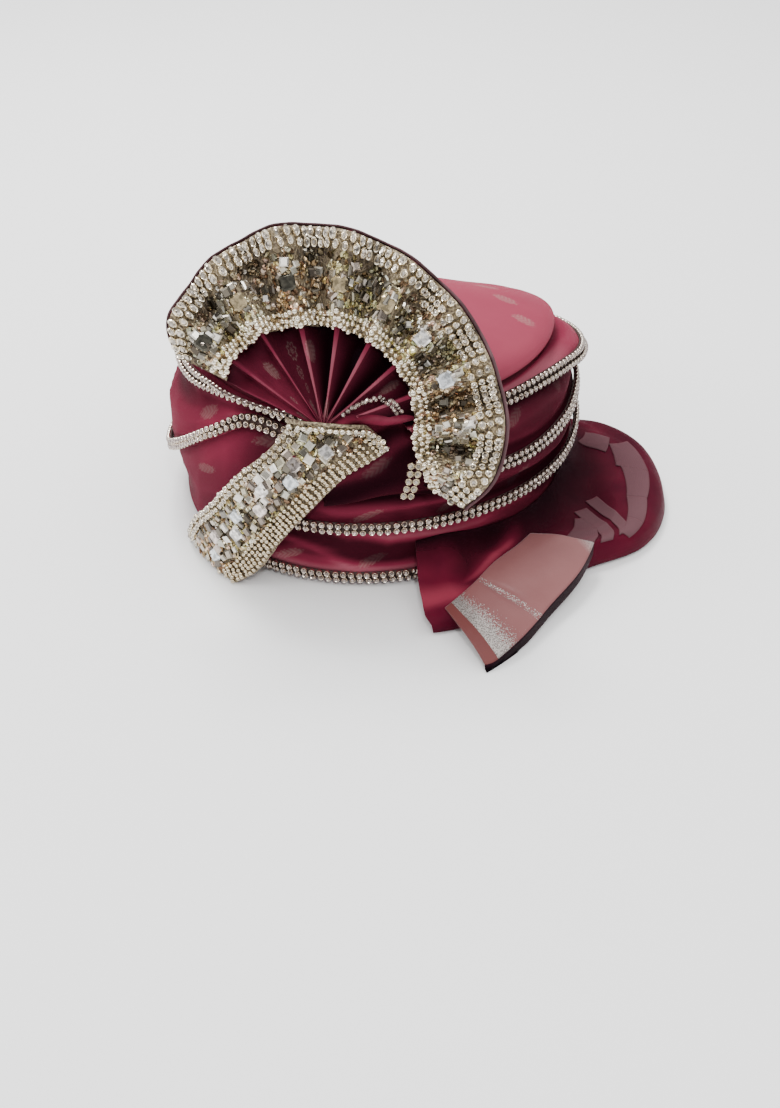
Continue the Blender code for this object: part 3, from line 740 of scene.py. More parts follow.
def set_copies(
    name, shape, spots, facings, ups, sizes, materials, node_name=None, tints=None
):
    """One mesh with a copy of the shape on each spot: its z axis along the facing and its y axis along up.

    Copies with tints are flat-faced foil; the others are smooth.
    """
    shape.verts.index_update()
    points = np.array([v.co[:] for v in shape.verts])
    faces = np.array([[v.index for v in f.verts] for f in shape.faces])
    kinds = np.array([f.material_index for f in shape.faces])
    facings = facings / np.linalg.norm(facings, axis=1, keepdims=True)
    sides = np.cross(ups, facings)
    sides /= np.linalg.norm(sides, axis=1, keepdims=True)
    ups = np.cross(facings, sides)
    sizes = np.broadcast_to(np.asarray(sizes, float), (len(spots), 3)) if np.ndim(sizes) < 2 else sizes
    turned = (
        sides[:, None, :] * (points[None, :, 0:1] * sizes[:, None, 0:1])
        + ups[:, None, :] * (points[None, :, 1:2] * sizes[:, None, 1:2])
        + facings[:, None, :] * (points[None, :, 2:3] * sizes[:, None, 2:3])
        + spots[:, None, :]
    ).reshape(-1, 3)
    joined = (faces[None, :, :] + len(points) * np.arange(len(spots))[:, None, None]).reshape(-1, 3)
    mesh = bpy.data.meshes.new(name)
    mesh.from_pydata(turned.tolist(), [], joined.tolist())
    mesh.polygons.foreach_set("material_index", np.tile(kinds, len(spots)).astype(np.int32))
    if tints is not None:
        layer = mesh.attributes.new("tint", "FLOAT_COLOR", "POINT")
        rows = np.repeat(np.concatenate([tints, np.ones((len(spots), 1))], axis=1), len(points), axis=0)
        layer.data.foreach_set("color", rows.astype(np.float32).ravel())
    else:
        mesh.shade_smooth()
        mesh.set_sharp_from_angle(angle=math.radians(35))
    made = bpy.data.objects.new(name, mesh)
    bpy.context.scene.collection.objects.link(made)
    return dress(made, materials, node_name)


def evenly(points, pitch):
    """Places along a line at even steps, with their directions along it."""
    steps = np.linalg.norm(np.diff(points, axis=0), axis=1)
    length = np.concatenate([[0], np.cumsum(steps)])
    number = max(int(round(length[-1] / pitch)), 1)
    at = (np.arange(number) + 0.5) / number * length[-1]
    spots = np.stack([np.interp(at, length, points[:, i]) for i in range(3)], axis=1)
    ahead = np.stack([np.interp(at + pitch / 4, length, points[:, i]) for i in range(3)], axis=1)
    back = np.stack([np.interp(at - pitch / 4, length, points[:, i]) for i in range(3)], axis=1)
    return spots, ahead - back, at / length[-1]


# Profile of one cup: a straight wall, a rolled lip, and inside it the stone with a flat table
CUP = (
    (0.78, 0.0), (0.98, 0.35), (1.0, 0.75), (0.86, 1.05), (0.66, 0.92), (0.62, 1.0), (0.34, 1.36),
    (0.0, 1.36),
)
cup_shape = turned_shape(CUP, 10, stone_from=0.60)
draw = np.random.default_rng(7)


def tilted(facings, most):
    """The directions, each leant a little at random, as hand-set beads are."""
    return facings + draw.normal(0, most, facings.shape) * np.linalg.norm(facings, axis=1, keepdims=True)


def bead_trim(which, start, end):
    back = FREE_OFF + CLOTH + LAYER_GAP
    rows = []
    for up in (CUP_RADIUS + ROW_EDGES[0], TRIM_WIDTH - ROW_EDGES[1]):
        turns = np.linspace(start, end, 900)
        heights = edge_height(turns, which) + (up - TRIM_OVERHANG) / crown_height(turns)
        line = crown_point(turns, heights, back + lip(turns, which) + CUP_SEAT)
        spots, ahead, at = evenly(line, CUP_PITCH)
        turn_at = start + (end - start) * at
        flat = crown_point(turn_at, edge_height(turn_at, which), back)
        outwards = crown_point(turn_at, edge_height(turn_at, which), back + 0.01) - flat
        rows.append((spots, outwards, ahead))
    spots, outwards, ahead = (np.concatenate(parts) for parts in zip(*rows))
    # The trims hang from the cloth's edge, so their beads face a little upwards
    outwards = outwards + np.array([0.0, 0.0, 0.0022])
    set_copies(
        f"trim_{which}_beads", cup_shape, spots, tilted(outwards, 0.08), np.cross(outwards, ahead),
        CUP_RADIUS * 0.92, (trim_silver, trim_glass), "trim_bottom" if which == "rim" else f"trim_{which}",
    )

    def tape(u, v):
        turn = start + (end - start) * u
        up = TAPE_LOW + TAPE_WIDTH * v - TRIM_OVERHANG
        height = edge_height(turn, which) + up / crown_height(turn)
        return crown_point(turn, height, back + lip(turn, which) + CUP_SEAT)

    strip = cloth_grid(
        f"trim_{which}_tape", 360, 2, tape,
        lambda u, v: (u * math.radians(end - start) * 0.12, v * TRIM_WIDTH), ring=end - start > 359,
    )
    dress(strip, (trim_tape,), wall=0.0008)


trim_tape = plain_metal("trim tape", (0.10, 0.065, 0.06), 0.6)
third_first = float(seam_turn(edge_height(SEAM_TURNS[1], "third"))) + along_crown(TRIM_SETBACK)
bottom_first = BAND_RIGHT_TURN - along_crown(TRIM_UNDER_BAND)
bead_trim("top", RING_START, RING_END)
bead_trim("second", RING_START, RING_END)
bead_trim("third", third_first, RING_END - along_crown(TRIM_SETBACK))
bead_trim("rim", bottom_first, RING_END - along_crown(TRIM_SETBACK))

# Front band
# A stiff lace band slants from the fan's hub down to the left, over the trims. Olive-gold net is sewn
# full of sequins and square mirrors, with two rows of cups on its left edge and its top and five rows
# of small balls on its right.
BAND_THICKNESS = 0.003
BAND_SEAT = 0.0009
BAND_FLARE = 0.0154
BAND_ARCH = 0.052
BEADS_THICKNESS = 0.003
NET_SUNK = 0.0004
NET_ROUGH = 0.0006
SEQUIN_SEAT = 0.0006
MIRROR_SEAT = 0.0012
BAND_ALONG = (0.00, 0.14, 0.34, 0.56, 0.78, 0.91, 1.00)
BAND_EDGES = {
    "left_turn": (-41.0, -35.0, -26.5, -17.5, -9.5, -6.0, -4.5),
    "left_height": (0.012, 0.190, 0.370, 0.590, 0.745, 0.840, 0.905),
    "left_flare": (0.190, 0.143, 0.078, 0.026, 0.010, 0.090, 0.190),
    "right_turn": (-17.5, -11.5, -5.5, 2.0, 11.0, 19.5, 23.5),
    "right_height": (0.010, 0.110, 0.300, 0.500, 0.690, 0.775, 0.825),
    "right_flare": (1.000, 0.578, 0.188, 0.078, 0.013, 0.050, 0.200),
}


def band_point(across, along, off):
    """Across is 0 on the band's left edge and 1 on its right, along is 0 at its lower end."""
    # Its top right corner is rounded
    along = along * (1 - 0.07 * rise(across, 0.62, 0.38) ** 2 * rise(along, 0.7, 0.3))
    edge = {name: follow(BAND_ALONG, values, along) for name, values in BAND_EDGES.items()}
    turn, height, flare = (
        edge["left_" + key] + (edge["right_" + key] - edge["left_" + key]) * across
        for key in ("turn", "height", "flare")
    )
    height = height + BAND_ARCH * np.sin(math.pi * np.clip(across, 0, 1)) * rise(along, 0.78, 0.22)
    trim_front = FREE_OFF + CLOTH + LAYER_GAP + TRIM_THICKNESS
    return crown_point(turn, height, trim_front + BAND_SEAT + BAND_FLARE * flare + off)


def lace_net(name, deep, lit):
    """Olive-gold net over brown gauze, with glittering thread and dark holes between."""
    material, body, read = new_material(name)
    cells = make_node([body], "TexVoronoi", feature="DISTANCE_TO_EDGE")
    wire(420.0, cells.inputs["Scale"])
    wire(body, cells.inputs["Vector"])
    thread = clamp(1.0 - Value(cells.outputs["Distance"]) * 3.2)
    patches = clamp((speckle(body, 90.0, 3.0) - 0.35) * 3.0)
    ground = mix(patches, deep, tuple((2 * a + b) / 3 for a, b in zip(deep, lit)))
    # Painted shade from the sheet's shading values darkens the net in the fan's hollows
    shade = mix(read("Attribute", "Fac", attribute_name="painted_shading"), (0.10, 0.06, 0.05), (1.0, 1.0, 1.0))
    return finish(
        material, bump=(thread, 0.8, 0.0008), Metallic=thread * 0.75, Roughness=0.75 - thread * 0.42,
        Base_Color=mix(1.0, mix(thread, ground, lit), shade, "MULTIPLY"),
    )


gold_net = lace_net("olive gold net", (0.050, 0.028, 0.016), (0.42, 0.34, 0.22))


def tinted(name, metallic, roughness):
    """Plating whose colour each small piece carries in its own tint."""
    material, body, read = new_material(name)
    tint = read("Attribute", "Color", attribute_name="tint")
    worn = speckle(body, 800.0)
    plated = mix(worn * 0.5, tint, (0.12, 0.09, 0.05))
    return finish(material, Base_Color=plated, Roughness=worn * 0.12 + roughness, Metallic=metallic)


sequin_foil = tinted("sequin foil", 0.9, 0.16)
SEQUIN_TINTS = np.array(
    [
        (0.64, 0.56, 0.38), (0.46, 0.36, 0.22), (0.22, 0.13, 0.08), (0.88, 0.82, 0.66), (1.00, 0.97, 0.90),
        (0.68, 0.48, 0.38), (0.58, 0.60, 0.44), (0.10, 0.06, 0.04), (0.60, 0.52, 0.24), (0.96, 0.88, 0.82),
    ]
)
SEQUIN_CHANCES = np.array([0.18, 0.15, 0.14, 0.14, 0.09, 0.07, 0.06, 0.08, 0.05, 0.04])
SEQUIN = ((1.0, 0.0), (0.62, 0.42), (0.22, 0.30), (0.0, 0.30))
sequin_shape = turned_shape(SEQUIN, 6)


def scatter_sequins(name, spots, facings, radius, tilt, shape=None, ups=None, painted_shade=None):
    """Small foil pieces, each with its own tint, tilt and size; the shade values given paint shade on those
    that lie in hollows.
    """
    number = len(spots)
    tints = SEQUIN_TINTS[draw.choice(len(SEQUIN_TINTS), number, p=SEQUIN_CHANCES)]
    sizes = radius * draw.uniform(0.7, 1.2, (number, 1)) * np.array([[1.0, 1.0, 0.8]])
    if shape is None:
        sizes[:, 1] *= draw.uniform(0.55, 1.0, number)
    else:
        tints = np.clip(tints * 0.80 + 0.12, 0, 0.95) * draw.choice([1.0, 0.25], (number, 1), p=[0.75, 0.25])
    # The foil tarnishes in patches: some rusty, some olive
    patch = ripples(spots[:, 0] * 38, spots[:, 2] * 38, 6.0)[:, None] * 3
    rust, olive = np.clip(patch, 0, 1), np.clip(-patch, 0, 1)
    if shape is None:
        tints = tints * (1 - rust * np.array([[0.10, 0.28, 0.42]]))
        tints = tints * (1 - olive * np.array([[0.12, 0.12, 0.40]]))
    else:
        grey = tints.mean(axis=1, keepdims=True) * np.array([[1.06, 1.00, 0.90]])
        tints = 0.45 * tints + 0.55 * grey
    # Painted shade on the pieces that lie in the lace's hollows
    if painted_shade is not None:
        tints = tints * painted_shade[:, None]
    return set_copies(
        name, shape or sequin_shape, spots, tilted(facings, tilt),
        draw.normal(0, 1, (number, 3)) if ups is None else ups, sizes, (sequin_foil,), tints=tints,
    )


# Square cut mirrors, smaller than the main stones: a girdle, four bevels and a table
SQUARE = ((1.0, 0.0), (1.0, 0.30), (0.66, 0.62), (0.0, 0.62))
square_shape = turned_shape(SQUARE, 4)
eighth_turn = Matrix.Rotation(math.pi / 4, 3, "Z")
bmesh.ops.rotate(square_shape, verts=list(square_shape.verts), cent=(0, 0, 0), matrix=eighth_turn)
bmesh.ops.scale(square_shape, verts=list(square_shape.verts), vec=(1.4, 1.4, 1.0))


def surface(point, first, second, step=0.02):
    """Points with their outward facings on a surface given by point(first, second)."""
    spots = point(first, second)
    side = point(first + step, second) - point(first - step, second)
    up = point(first, second + step) - point(first, second - step)
    return spots, np.cross(side, up), up


def band_place(u, v):
    return band_point(u, v, BAND_THICKNESS - NET_SUNK + NET_ROUGH * ripples(u * 9, v * 22, 1.0))


band = cloth_grid("front_band_lace", 36, 90, band_place, lambda u, v: (u * 0.045, v * 0.13))
dress(band, (gold_net,), "front_band", wall=0.0022)

BAND_SEQUINS = 560
across = draw.uniform(0.17, 0.76, BAND_SEQUINS)
along = draw.uniform(0.01, 0.985, BAND_SEQUINS)
spots, facings, ups = surface(lambda a, b: band_point(a, b, BAND_THICKNESS + SEQUIN_SEAT), across, along)
band_sequins = scatter_sequins(
    "band_sequins", spots, facings, radius=0.0021, tilt=0.35
)


def clear_of_stones(spots, room):
    """Leaves out the places that the main stones take up."""
    solids = [solid for name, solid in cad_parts.items() if "_stone_" in name]
    stones = np.array([solid.matrix_world.translation[:] for solid in solids])
    return np.linalg.norm(spots[:, None, :] - stones[None, :, :], axis=2).min(axis=1) > room


# Four columns of small mirrors, each begun at its own share of a step
MIRROR_STEP = 0.0062 / 0.135
MIRROR_COLUMNS = ((0.235, 0.0), (0.36, 0.5), (0.49, 0.25), (0.63, 0.7))
columns = [np.arange(0.02 + share * MIRROR_STEP, 0.98, MIRROR_STEP) for at, share in MIRROR_COLUMNS]
across = np.concatenate([np.full(len(column), at) for column, (at, share) in zip(columns, MIRROR_COLUMNS)])
across = across + draw.normal(0, 0.012, len(across))
along = np.concatenate(columns)
along = along + draw.normal(0, 0.004, len(along))
spots, facings, ups = surface(lambda a, b: band_point(a, b, BAND_THICKNESS + MIRROR_SEAT), across, along)
free = clear_of_stones(spots, room=0.0068)
band_mirrors = scatter_sequins(
    "band_mirrors", spots[free], facings[free], radius=0.0024, tilt=0.14,
    shape=square_shape, ups=(ups + draw.normal(0, 0.0012, ups.shape))[free],
)


def band_rows(name, node_name, rows, pitch, radius, shape, materials):
    """Rows of beads along the band, each given by its share across and how far along its line it starts."""
    lines = []
    for across, shift in rows:
        at = np.linspace(0.004, 0.996, 400)
        line = band_point(np.full(400, across), at, BAND_THICKNESS + LAYER_GAP + 0.0002)
        spots, _, share = evenly(line[shift:], pitch)
        _, facings, ups = surface(lambda a, b: band_point(a, b, 0.0), np.full(len(share), across), share)
        lines.append((spots, facings, ups))
    spots, facings, ups = (np.concatenate(parts) for parts in zip(*lines))
    spots = spots + draw.normal(0, 0.00022, spots.shape)
    sizes = radius * draw.uniform(0.88, 1.10, (len(spots), 1)) * np.ones((1, 3))
    return set_copies(name, shape, spots, tilted(facings, 0.14), ups, sizes, materials, node_name)


ball_silver = plain_metal("ball silver", (0.68, 0.58, 0.43), 0.12)
ball_bm = bmesh.new()
bmesh.ops.create_uvsphere(ball_bm, u_segments=10, v_segments=7, radius=1.0)
bmesh.ops.triangulate(ball_bm, faces=list(ball_bm.faces))
left_rows = band_rows(
    "band_left_cups", "band_left_beads", rows=((0.048, 0), (0.132, 5)), pitch=0.0039, radius=0.00178,
    shape=cup_shape, materials=(silver, bead_glass),
)
right_rows = band_rows(
    "band_right_balls", "band_right_beads",
    rows=((0.765, 0), (0.815, 6), (0.865, 0), (0.915, 6), (0.962, 0)), pitch=0.0036, radius=0.00142,
    shape=ball_bm, materials=(ball_silver,),
)
TOP_ROWS = (0.999, 0.972)
TOP_CUP_PITCH = 0.0034
TOP_CUP_RADIUS = 0.0017
top_parts = []
for at in TOP_ROWS:
    line = band_point(np.linspace(0.16, 0.97, 200), np.full(200, at), BAND_THICKNESS + CUP_SEAT)
    _, _, share = evenly(line, TOP_CUP_PITCH)
    spots, facings, ups = surface(
        lambda a, b: band_point(a, b, BAND_THICKNESS + CUP_SEAT), 0.16 + 0.81 * share, np.full(len(share), at)
    )
    top_parts.append((spots, facings, ups))
spots, facings, ups = (np.concatenate(p) for p in zip(*top_parts))
top_cups = set_copies(
    "band_top_cups", cup_shape, spots, tilted(facings, 0.2), ups, TOP_CUP_RADIUS, (silver, bead_glass)
)

# Mirrors
# Square cut mirrors with bevelled sides, each glued on the lace in a row; some catch the light and
# others lie dark. Their shape is the solid's own.
mirror_kinds = (
    cut_glass("bright mirror", (0.92, 0.88, 0.84), 1.0, 0.03),
    cut_glass("rose mirror", (0.80, 0.70, 0.64), 1.0, 0.03),
    cut_glass("dark mirror", (0.07, 0.065, 0.05), 0.8, 0.05),
    cut_glass("blue white mirror", (0.80, 0.83, 0.85), 1.0, 0.03),
    cut_glass("amber mirror", (0.46, 0.37, 0.22), 0.9, 0.06),
)
FAN_MIRRORS = (3, 0, 4, 4, 2, 4, 2)
BAND_MIRRORS = (3, 1, 0)
for name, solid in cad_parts.items():
    if "_stone_" in name:
        kinds = FAN_MIRRORS if name.startswith("fan") else BAND_MIRRORS
        kind = kinds[(int(name.rsplit("_", 1)[1]) - 1) % len(kinds)]
        if solid.data.materials:
            solid.data.materials[0] = mirror_kinds[kind]
        else:
            solid.data.materials.append(mirror_kinds[kind])

# Fan
# The turra is a strip of the same silk pleated like a fan and gathered in at its hub. It stands at
# the front and leans back, with knife folds at the hub that open into soft waves under its lace.
FAN_RADIUS = 0.105
FAN_HUB = crown_point(4.6, 0.8855, FREE_OFF + CLOTH + LAYER_GAP + TRIM_THICKNESS + 0.0071)
FAN_TURN = math.radians(12)
FAN_LEAN = math.radians(30)
PLEAT_PITCH = 20.4
PLEAT_PEAK = 84.0
PLEAT_DEPTH = 0.0066
FAN_FIRST = PLEAT_PEAK - PLEAT_PITCH / 4 * 22
FAN_LAST = PLEAT_PEAK + PLEAT_PITCH / 4 * 14
FAN_ANGLES = (-27, -14, 3, 18, 32, 53, 83, 105, 125, 145, 151, 156)
CLOTH_START = (0.580, 0.500, 0.420, 0.250, 0.050, 0.015, 0.010, 0.010, 0.010, 0.015, 0.030, 0.050)
LACE_START = (0.600, 0.480, 0.460, 0.470, 0.475, 0.485, 0.505, 0.520, 0.555, 0.560, 0.555, 0.545)
FAN_OUTER = (0.820, 0.895, 0.915, 0.905, 0.910, 0.925, 0.980, 1.015, 0.990, 0.935, 0.884, 0.800)
CUP_SHARES = (0.0, 0.25, 0.50, 0.75, 1.05)
CUP_PLEAT = (0.05, 0.50, 1.00, 0.85, 0.50)
CUP_RISE = (0.0, 0.0, 0.05, 0.35, 1.00)
FAN_ACROSS = np.array([math.cos(FAN_TURN), math.sin(FAN_TURN), 0.0])
FAN_FACING = np.array(
    [math.sin(FAN_TURN) * math.cos(FAN_LEAN), -math.cos(FAN_TURN) * math.cos(FAN_LEAN), math.sin(FAN_LEAN)]
)
FAN_UP = np.cross(FAN_FACING, FAN_ACROSS)


def fan_radius(angle, values):
    return FAN_RADIUS * follow(FAN_ANGLES, values, angle)


def pleat_phase(angle):
    """0 on a pleat's ridge, rising to 1 at the next ridge to its right."""
    return ((PLEAT_PEAK - np.asarray(angle, float)) / PLEAT_PITCH) % 1


RIDGE = 0.13
KNIFE_PHASES = (0.0, RIDGE, RIDGE + 0.10, 0.62, 0.90, 0.965, 1.0)
KNIFE_HEIGHTS = (1.0, 0.90, 0.35, -0.55, -1.0, -0.6, 1.0)


def pleat_wave(angle, share):
    """1 on a pleat's ridge and -1 in its valley: knife folds at the hub, soft waves under the lace."""
    phase = pleat_phase(angle)
    soft = np.cos(math.tau * phase)
    sharp = follow(KNIFE_PHASES, KNIFE_HEIGHTS, phase)
    edge = fall(share, 0.60, 0.14)
    return soft + (sharp - soft) * edge


def fan_point(angle, radius, lift):
    angle, radius, lift = np.broadcast_arrays(*[np.asarray(a, float) for a in (angle, radius, lift)])
    share = radius / FAN_RADIUS
    deep = follow(CUP_SHARES, CUP_PLEAT, share)
    height = PLEAT_DEPTH * (deep * pleat_wave(angle, share) + follow(CUP_SHARES, CUP_RISE, share))
    height = height + 0.0007 * np.sin(math.tau * angle / 6.3 + radius * 90) * np.clip(share - 0.35, 0, 1)
    turn = np.radians(angle)[..., None]
    spoke = FAN_ACROSS * np.cos(turn) + FAN_UP * np.sin(turn)
    return FAN_HUB + spoke * radius[..., None] + FAN_FACING * (height + lift)[..., None]


def fan_sheet(name, inner, outer, lift, columns, rows, shades=None):
    """A layer of the fan between two radii, each a function of the angle."""

    def polar(u, v):
        angle = FAN_LAST + (FAN_FIRST - FAN_LAST) * u
        return angle, inner(angle) + (outer(angle) - inner(angle)) * v

    def place(u, v):
        angle, radius = polar(u, v)
        return fan_point(angle, radius, lift)

    def metres(u, v):
        angle, radius = polar(u, v)
        return np.radians(angle) * 0.11, radius

    shaded = None if shades is None else lambda u, v: shades(*polar(u, v))
    return cloth_grid(name, columns, rows, place, metres, shades=shaded)


def fan_shades(angle, radius):
    """Ridges are lit, and the cloth falls into shade to the right of each; the left folds lie open."""
    share = radius / FAN_RADIUS
    phase = pleat_phase(angle)
    knife = np.where(phase < RIDGE, 1.45, 0.50 * np.clip(1 - (phase - RIDGE) / 0.62, 0, 1) ** 1.9)
    open_fold = 0.88 - 0.40 * np.abs(ripples(angle / 9, share * 5, 4.0))
    # A panel of painted shade where the woven flowers lie
    floral_panel_shade = 0.30 + 0.15 * rise(phase, RIDGE, 0.5)
    # A painted lit tongue of cloth at the lower right
    lit_tongue = bell(angle, 30, 5.0) * 0.9
    # The open folds at the left take painted light, with painted highlights on their ridges
    shade = np.where(angle > 123, open_fold + np.where(phase < RIDGE * 0.6, 0.35, 0), knife)
    shade = np.where((angle > 104.6) & (angle < 123), floral_panel_shade, shade)
    shade = np.maximum(shade, lit_tongue)
    # Painted shade in the voids beside the lace; lit ridges keep some of their light
    lace_share = fan_radius(angle, LACE_START) / FAN_RADIUS
    near_lace = np.where(share > lace_share + 0.01, 0, rise(share, lace_share - 0.13, 0.13))
    ridge_keeps = np.where(phase < RIDGE, 0.45, 0.88)
    return shade * (1 - ridge_keeps * near_lace)


fan_cloth = fan_sheet(
    "fan_cloth_pleats", lambda a: fan_radius(a, CLOTH_START), lambda a: fan_radius(a, FAN_OUTER) + 0.0008,
    CLOTH, 640, 60, fan_shades,
)
fan_silk = silk(
    "fan silk", deep=(0.130, 0.014, 0.032), lit=(0.21, 0.026, 0.052), sprigs=0.7, step=(0.064, 0.030),
    size=(0.0065, 0.0060), turned=0.9, shift=(0.0, 0.004),
    medallions=(
        (0.2180, 0.0440, 0.0058), (0.2185, 0.0320, 0.0042), (0.2170, 0.0230, 0.0030),
        (0.2640, 0.0215, 0.0030),
    ),
)
dress(fan_cloth, (fan_silk,), "fan_cloth", wall=0.0014)

# Fan lace
# The same stone-set net is sewn along the fan's rim on its face: sequins and small stones between a
# wide outer border of cups and a knotted inner border of small balls.
LACE_THICKNESS = 0.0018
CUP_ROWS = (0.0036, 0.0088, 0.0127)
BALL_ROWS = (0.0008, 0.0040, 0.0072)
OUTER_BORDER = 0.0125
RIGHT_SHIFT = 0.0006
lace_back = CLOTH + LAYER_GAP
lace_front = lace_back + LACE_THICKNESS


def lace_shades(angle, radius):
    """The net's hollows between the pleats lie in shade, most of all on the right lobe."""
    wave = pleat_wave(angle, radius / FAN_RADIUS)
    deep = 0.50 + 0.25 * fall(angle, 60, 30)
    hollow_shade = fall(wave, 0.15, 0.9) * deep
    # Painted shade on a band just inside the outer border, at the top and left
    outer = np.clip((radius - fan_radius(angle, FAN_OUTER) + 0.021) / 0.006, 0, 1)
    outer = outer * np.clip((fan_radius(angle, FAN_OUTER) - OUTER_BORDER - radius) / 0.003 + 1, 0, 1)
    return np.clip(1 - 0.74 * hollow_shade - 0.40 * outer * rise(angle, 55, 20), 0.08, 1)


fan_lace = fan_sheet(
    "fan_lace_net", lambda a: fan_radius(a, LACE_START), lambda a: fan_radius(a, FAN_OUTER) - 0.0008,
    lace_front, 360, 26, lace_shades,
)
dress(fan_lace, (gold_net,), "fan_lace", wall=0.0012)


def fan_surface(angle, radius, lift):
    spots = fan_point(angle, radius, lift)
    side = fan_point(angle - 0.8, radius, lift) - fan_point(angle + 0.8, radius, lift)
    up = fan_point(angle, radius + 0.001, lift) - fan_point(angle, radius - 0.001, lift)
    return spots, np.cross(side, up), up


FAN_SEQUINS = 1250
angles = draw.uniform(FAN_FIRST + 1, FAN_LAST - 1, FAN_SEQUINS)
inner = fan_radius(angles, LACE_START) + 0.004
outer = fan_radius(angles, FAN_OUTER) - OUTER_BORDER
radii = inner + (outer - inner) * draw.uniform(0, 1, FAN_SEQUINS)
spots, facings, ups = fan_surface(angles, radii, lace_front + 0.0008)
fan_sequins = scatter_sequins(
    "fan_sequins", spots, facings, radius=0.0021, tilt=0.40,
    painted_shade=lace_shades(angles, radii),
)
FAN_SMALL_MIRRORS = 150
angles = draw.uniform(FAN_FIRST + 3, FAN_LAST - 3, FAN_SMALL_MIRRORS)
inner = fan_radius(angles, LACE_START) + 0.010
outer = fan_radius(angles, FAN_OUTER) - OUTER_BORDER - 0.0030
radii = inner + (outer - inner) * draw.uniform(0, 1, FAN_SMALL_MIRRORS)
spots, facings, ups = fan_surface(angles, radii, lace_front + 0.0014)
free = clear_of_stones(spots, room=0.0070)
fan_mirrors = scatter_sequins(
    "fan_mirrors", spots[free], facings[free], radius=0.0023, tilt=0.22,
    shape=square_shape, ups=(ups + draw.normal(0, 0.0004, ups.shape))[free],
    painted_shade=lace_shades(angles, radii)[free],
)


def fan_rows(name, node_name, rows, pitch, size, wander, shape, materials):
    """Rows of beads along the fan, each given by its radius as a function of the angle and its last angle."""
    parts = []
    for k, (radius, last) in enumerate(rows):
        angles = np.linspace(last, FAN_FIRST + 0.6, 1600)
        line = fan_point(angles, radius(angles), lace_front)
        _, _, share = evenly(line, pitch)
        steps = np.linalg.norm(np.diff(line, axis=0), axis=1)
        length = np.concatenate([[0], np.cumsum(steps)])
        at = np.interp(share * length[-1] + (k % 2) * pitch / 2, length, angles)
        lift = lace_front + 0.0004
        where, facings, ups = fan_surface(at, radius(at) + draw.normal(0, wander, len(at)), lift)
        parts.append((where, facings, ups, at))
    spots, facings, ups, at = (np.concatenate(p) for p in zip(*parts))
    sizes = size * draw.uniform(0.9, 1.08, (len(spots), 1)) * np.ones((1, 3))
    # At the top and left the outer cups are oval and stand along the pleats
    if shape is cup_shape:
        sizes[:, 1] *= 1 + 0.38 * rise(at, 50, 25)
        sizes[:, 0] *= 1 - 0.10 * rise(at, 50, 25)
    return set_copies(name, shape, spots, tilted(facings, 0.12), ups, sizes, materials, node_name)


outer_rows = fan_rows(
    "fan_outer_cups", "fan_outer_beads", rows=[
        (lambda a: fan_radius(a, FAN_OUTER) - CUP_ROWS[0], FAN_LAST - 0.6),
        (lambda a: fan_radius(a, FAN_OUTER) - CUP_ROWS[1] + RIGHT_SHIFT * fall(a, 50, 20), FAN_LAST - 0.6),
        (lambda a: fan_radius(a, FAN_OUTER) - CUP_ROWS[2], 52.0),
    ],
    pitch=0.0049, size=0.00225, wander=0.0001, shape=cup_shape, materials=(silver, bead_glass),
)
inner_rows = fan_rows(
    "fan_inner_balls", "fan_inner_beads",
    rows=[(lambda a, d=d: fan_radius(a, LACE_START) + d, FAN_LAST - 0.6) for d in BALL_ROWS],
    pitch=0.0038, size=0.0018, wander=0.0006, shape=ball_bm, materials=(silver,),
)

# Fan piping
# The fan's rim is bound with a flat cord of dull mauve braid, sewn over the edges of cloth and lace.
PIPING_WIDE = 0.0006
PIPING_THICK = 0.0015


def piping_place(u, v):
    angle = FAN_LAST + (FAN_FIRST - FAN_LAST) * u
    round_it = math.tau * v
    wide = PIPING_WIDE * (1 + 0.6 * fall(angle, 70, 30))
    radius = fan_radius(angle, FAN_OUTER) + 0.0006 + wide * np.cos(round_it)
    return fan_point(angle, radius, CLOTH + 0.0008 - PIPING_THICK * np.sin(round_it))


piping = cloth_grid(
    "fan_edge_piping", 360, 8, piping_place, lambda u, v: (u * 0.34, v * 0.012), ring=True
)
piping_silk = silk("mauve braid", deep=(0.075, 0.040, 0.045), lit=(0.13, 0.080, 0.085))
dress(piping, (piping_silk,))

# Twist
# Right of the hub the fan's cloth is twisted and tucked down under the lace and the band, with a short
# arch of bead trim caught in it. Its folds cover the trims that run behind the fan.
TWIST_TURNS = (5.0, 39.0)
TWIST_LOW = (0.50, 0.56, 0.50)
TWIST_HIGH = (0.92, 1.00, 0.96)
TWIST_STAND = 0.0142
TWIST_HEIGHT_LIMIT = 0.90
TWIST_FOLD = 0.0030


def twist_folds(u, v):
    """Ridges that run from the band's top corner up to the right."""
    across = (1 - v) * 3.1 + u * 1.3 + 0.5 * ripples(u * 2.2, v * 2.6, 31.0)
    return 0.5 + 0.5 * np.sin(math.tau * across)


def twist_place(u, v):
    turn = TWIST_TURNS[0] + (TWIST_TURNS[1] - TWIST_TURNS[0]) * u
    low = follow((0, 0.5, 1), TWIST_LOW, u)
    high = follow((0, 0.5, 1), TWIST_HIGH, u)
    height = low + (high - low) * v
    rolled = rise(v, 0, 0.10) ** 0.5
    off = TWIST_STAND * (0.72 + 0.28 * rolled) + TWIST_FOLD * (twist_folds(u, v) - 0.25) * rolled
    spots = crown_point(turn, np.minimum(height, TWIST_HEIGHT_LIMIT), off)
    spots[:, 2] += np.maximum(height - TWIST_HEIGHT_LIMIT, 0) * CROWN_HEIGHT
    return spots


def twist_shades(u, v):
    """Painted shade under the arch of beads and beside the band, with one painted lit fold between them."""
    lit_fold = bell(v, 0.94 - 0.22 * u, 0.09)
    low = np.clip(v / 0.30, 0.05, 1)
    return np.maximum(1.15 * lit_fold, (0.04 + 0.30 * twist_folds(u, v) ** 2) * low)


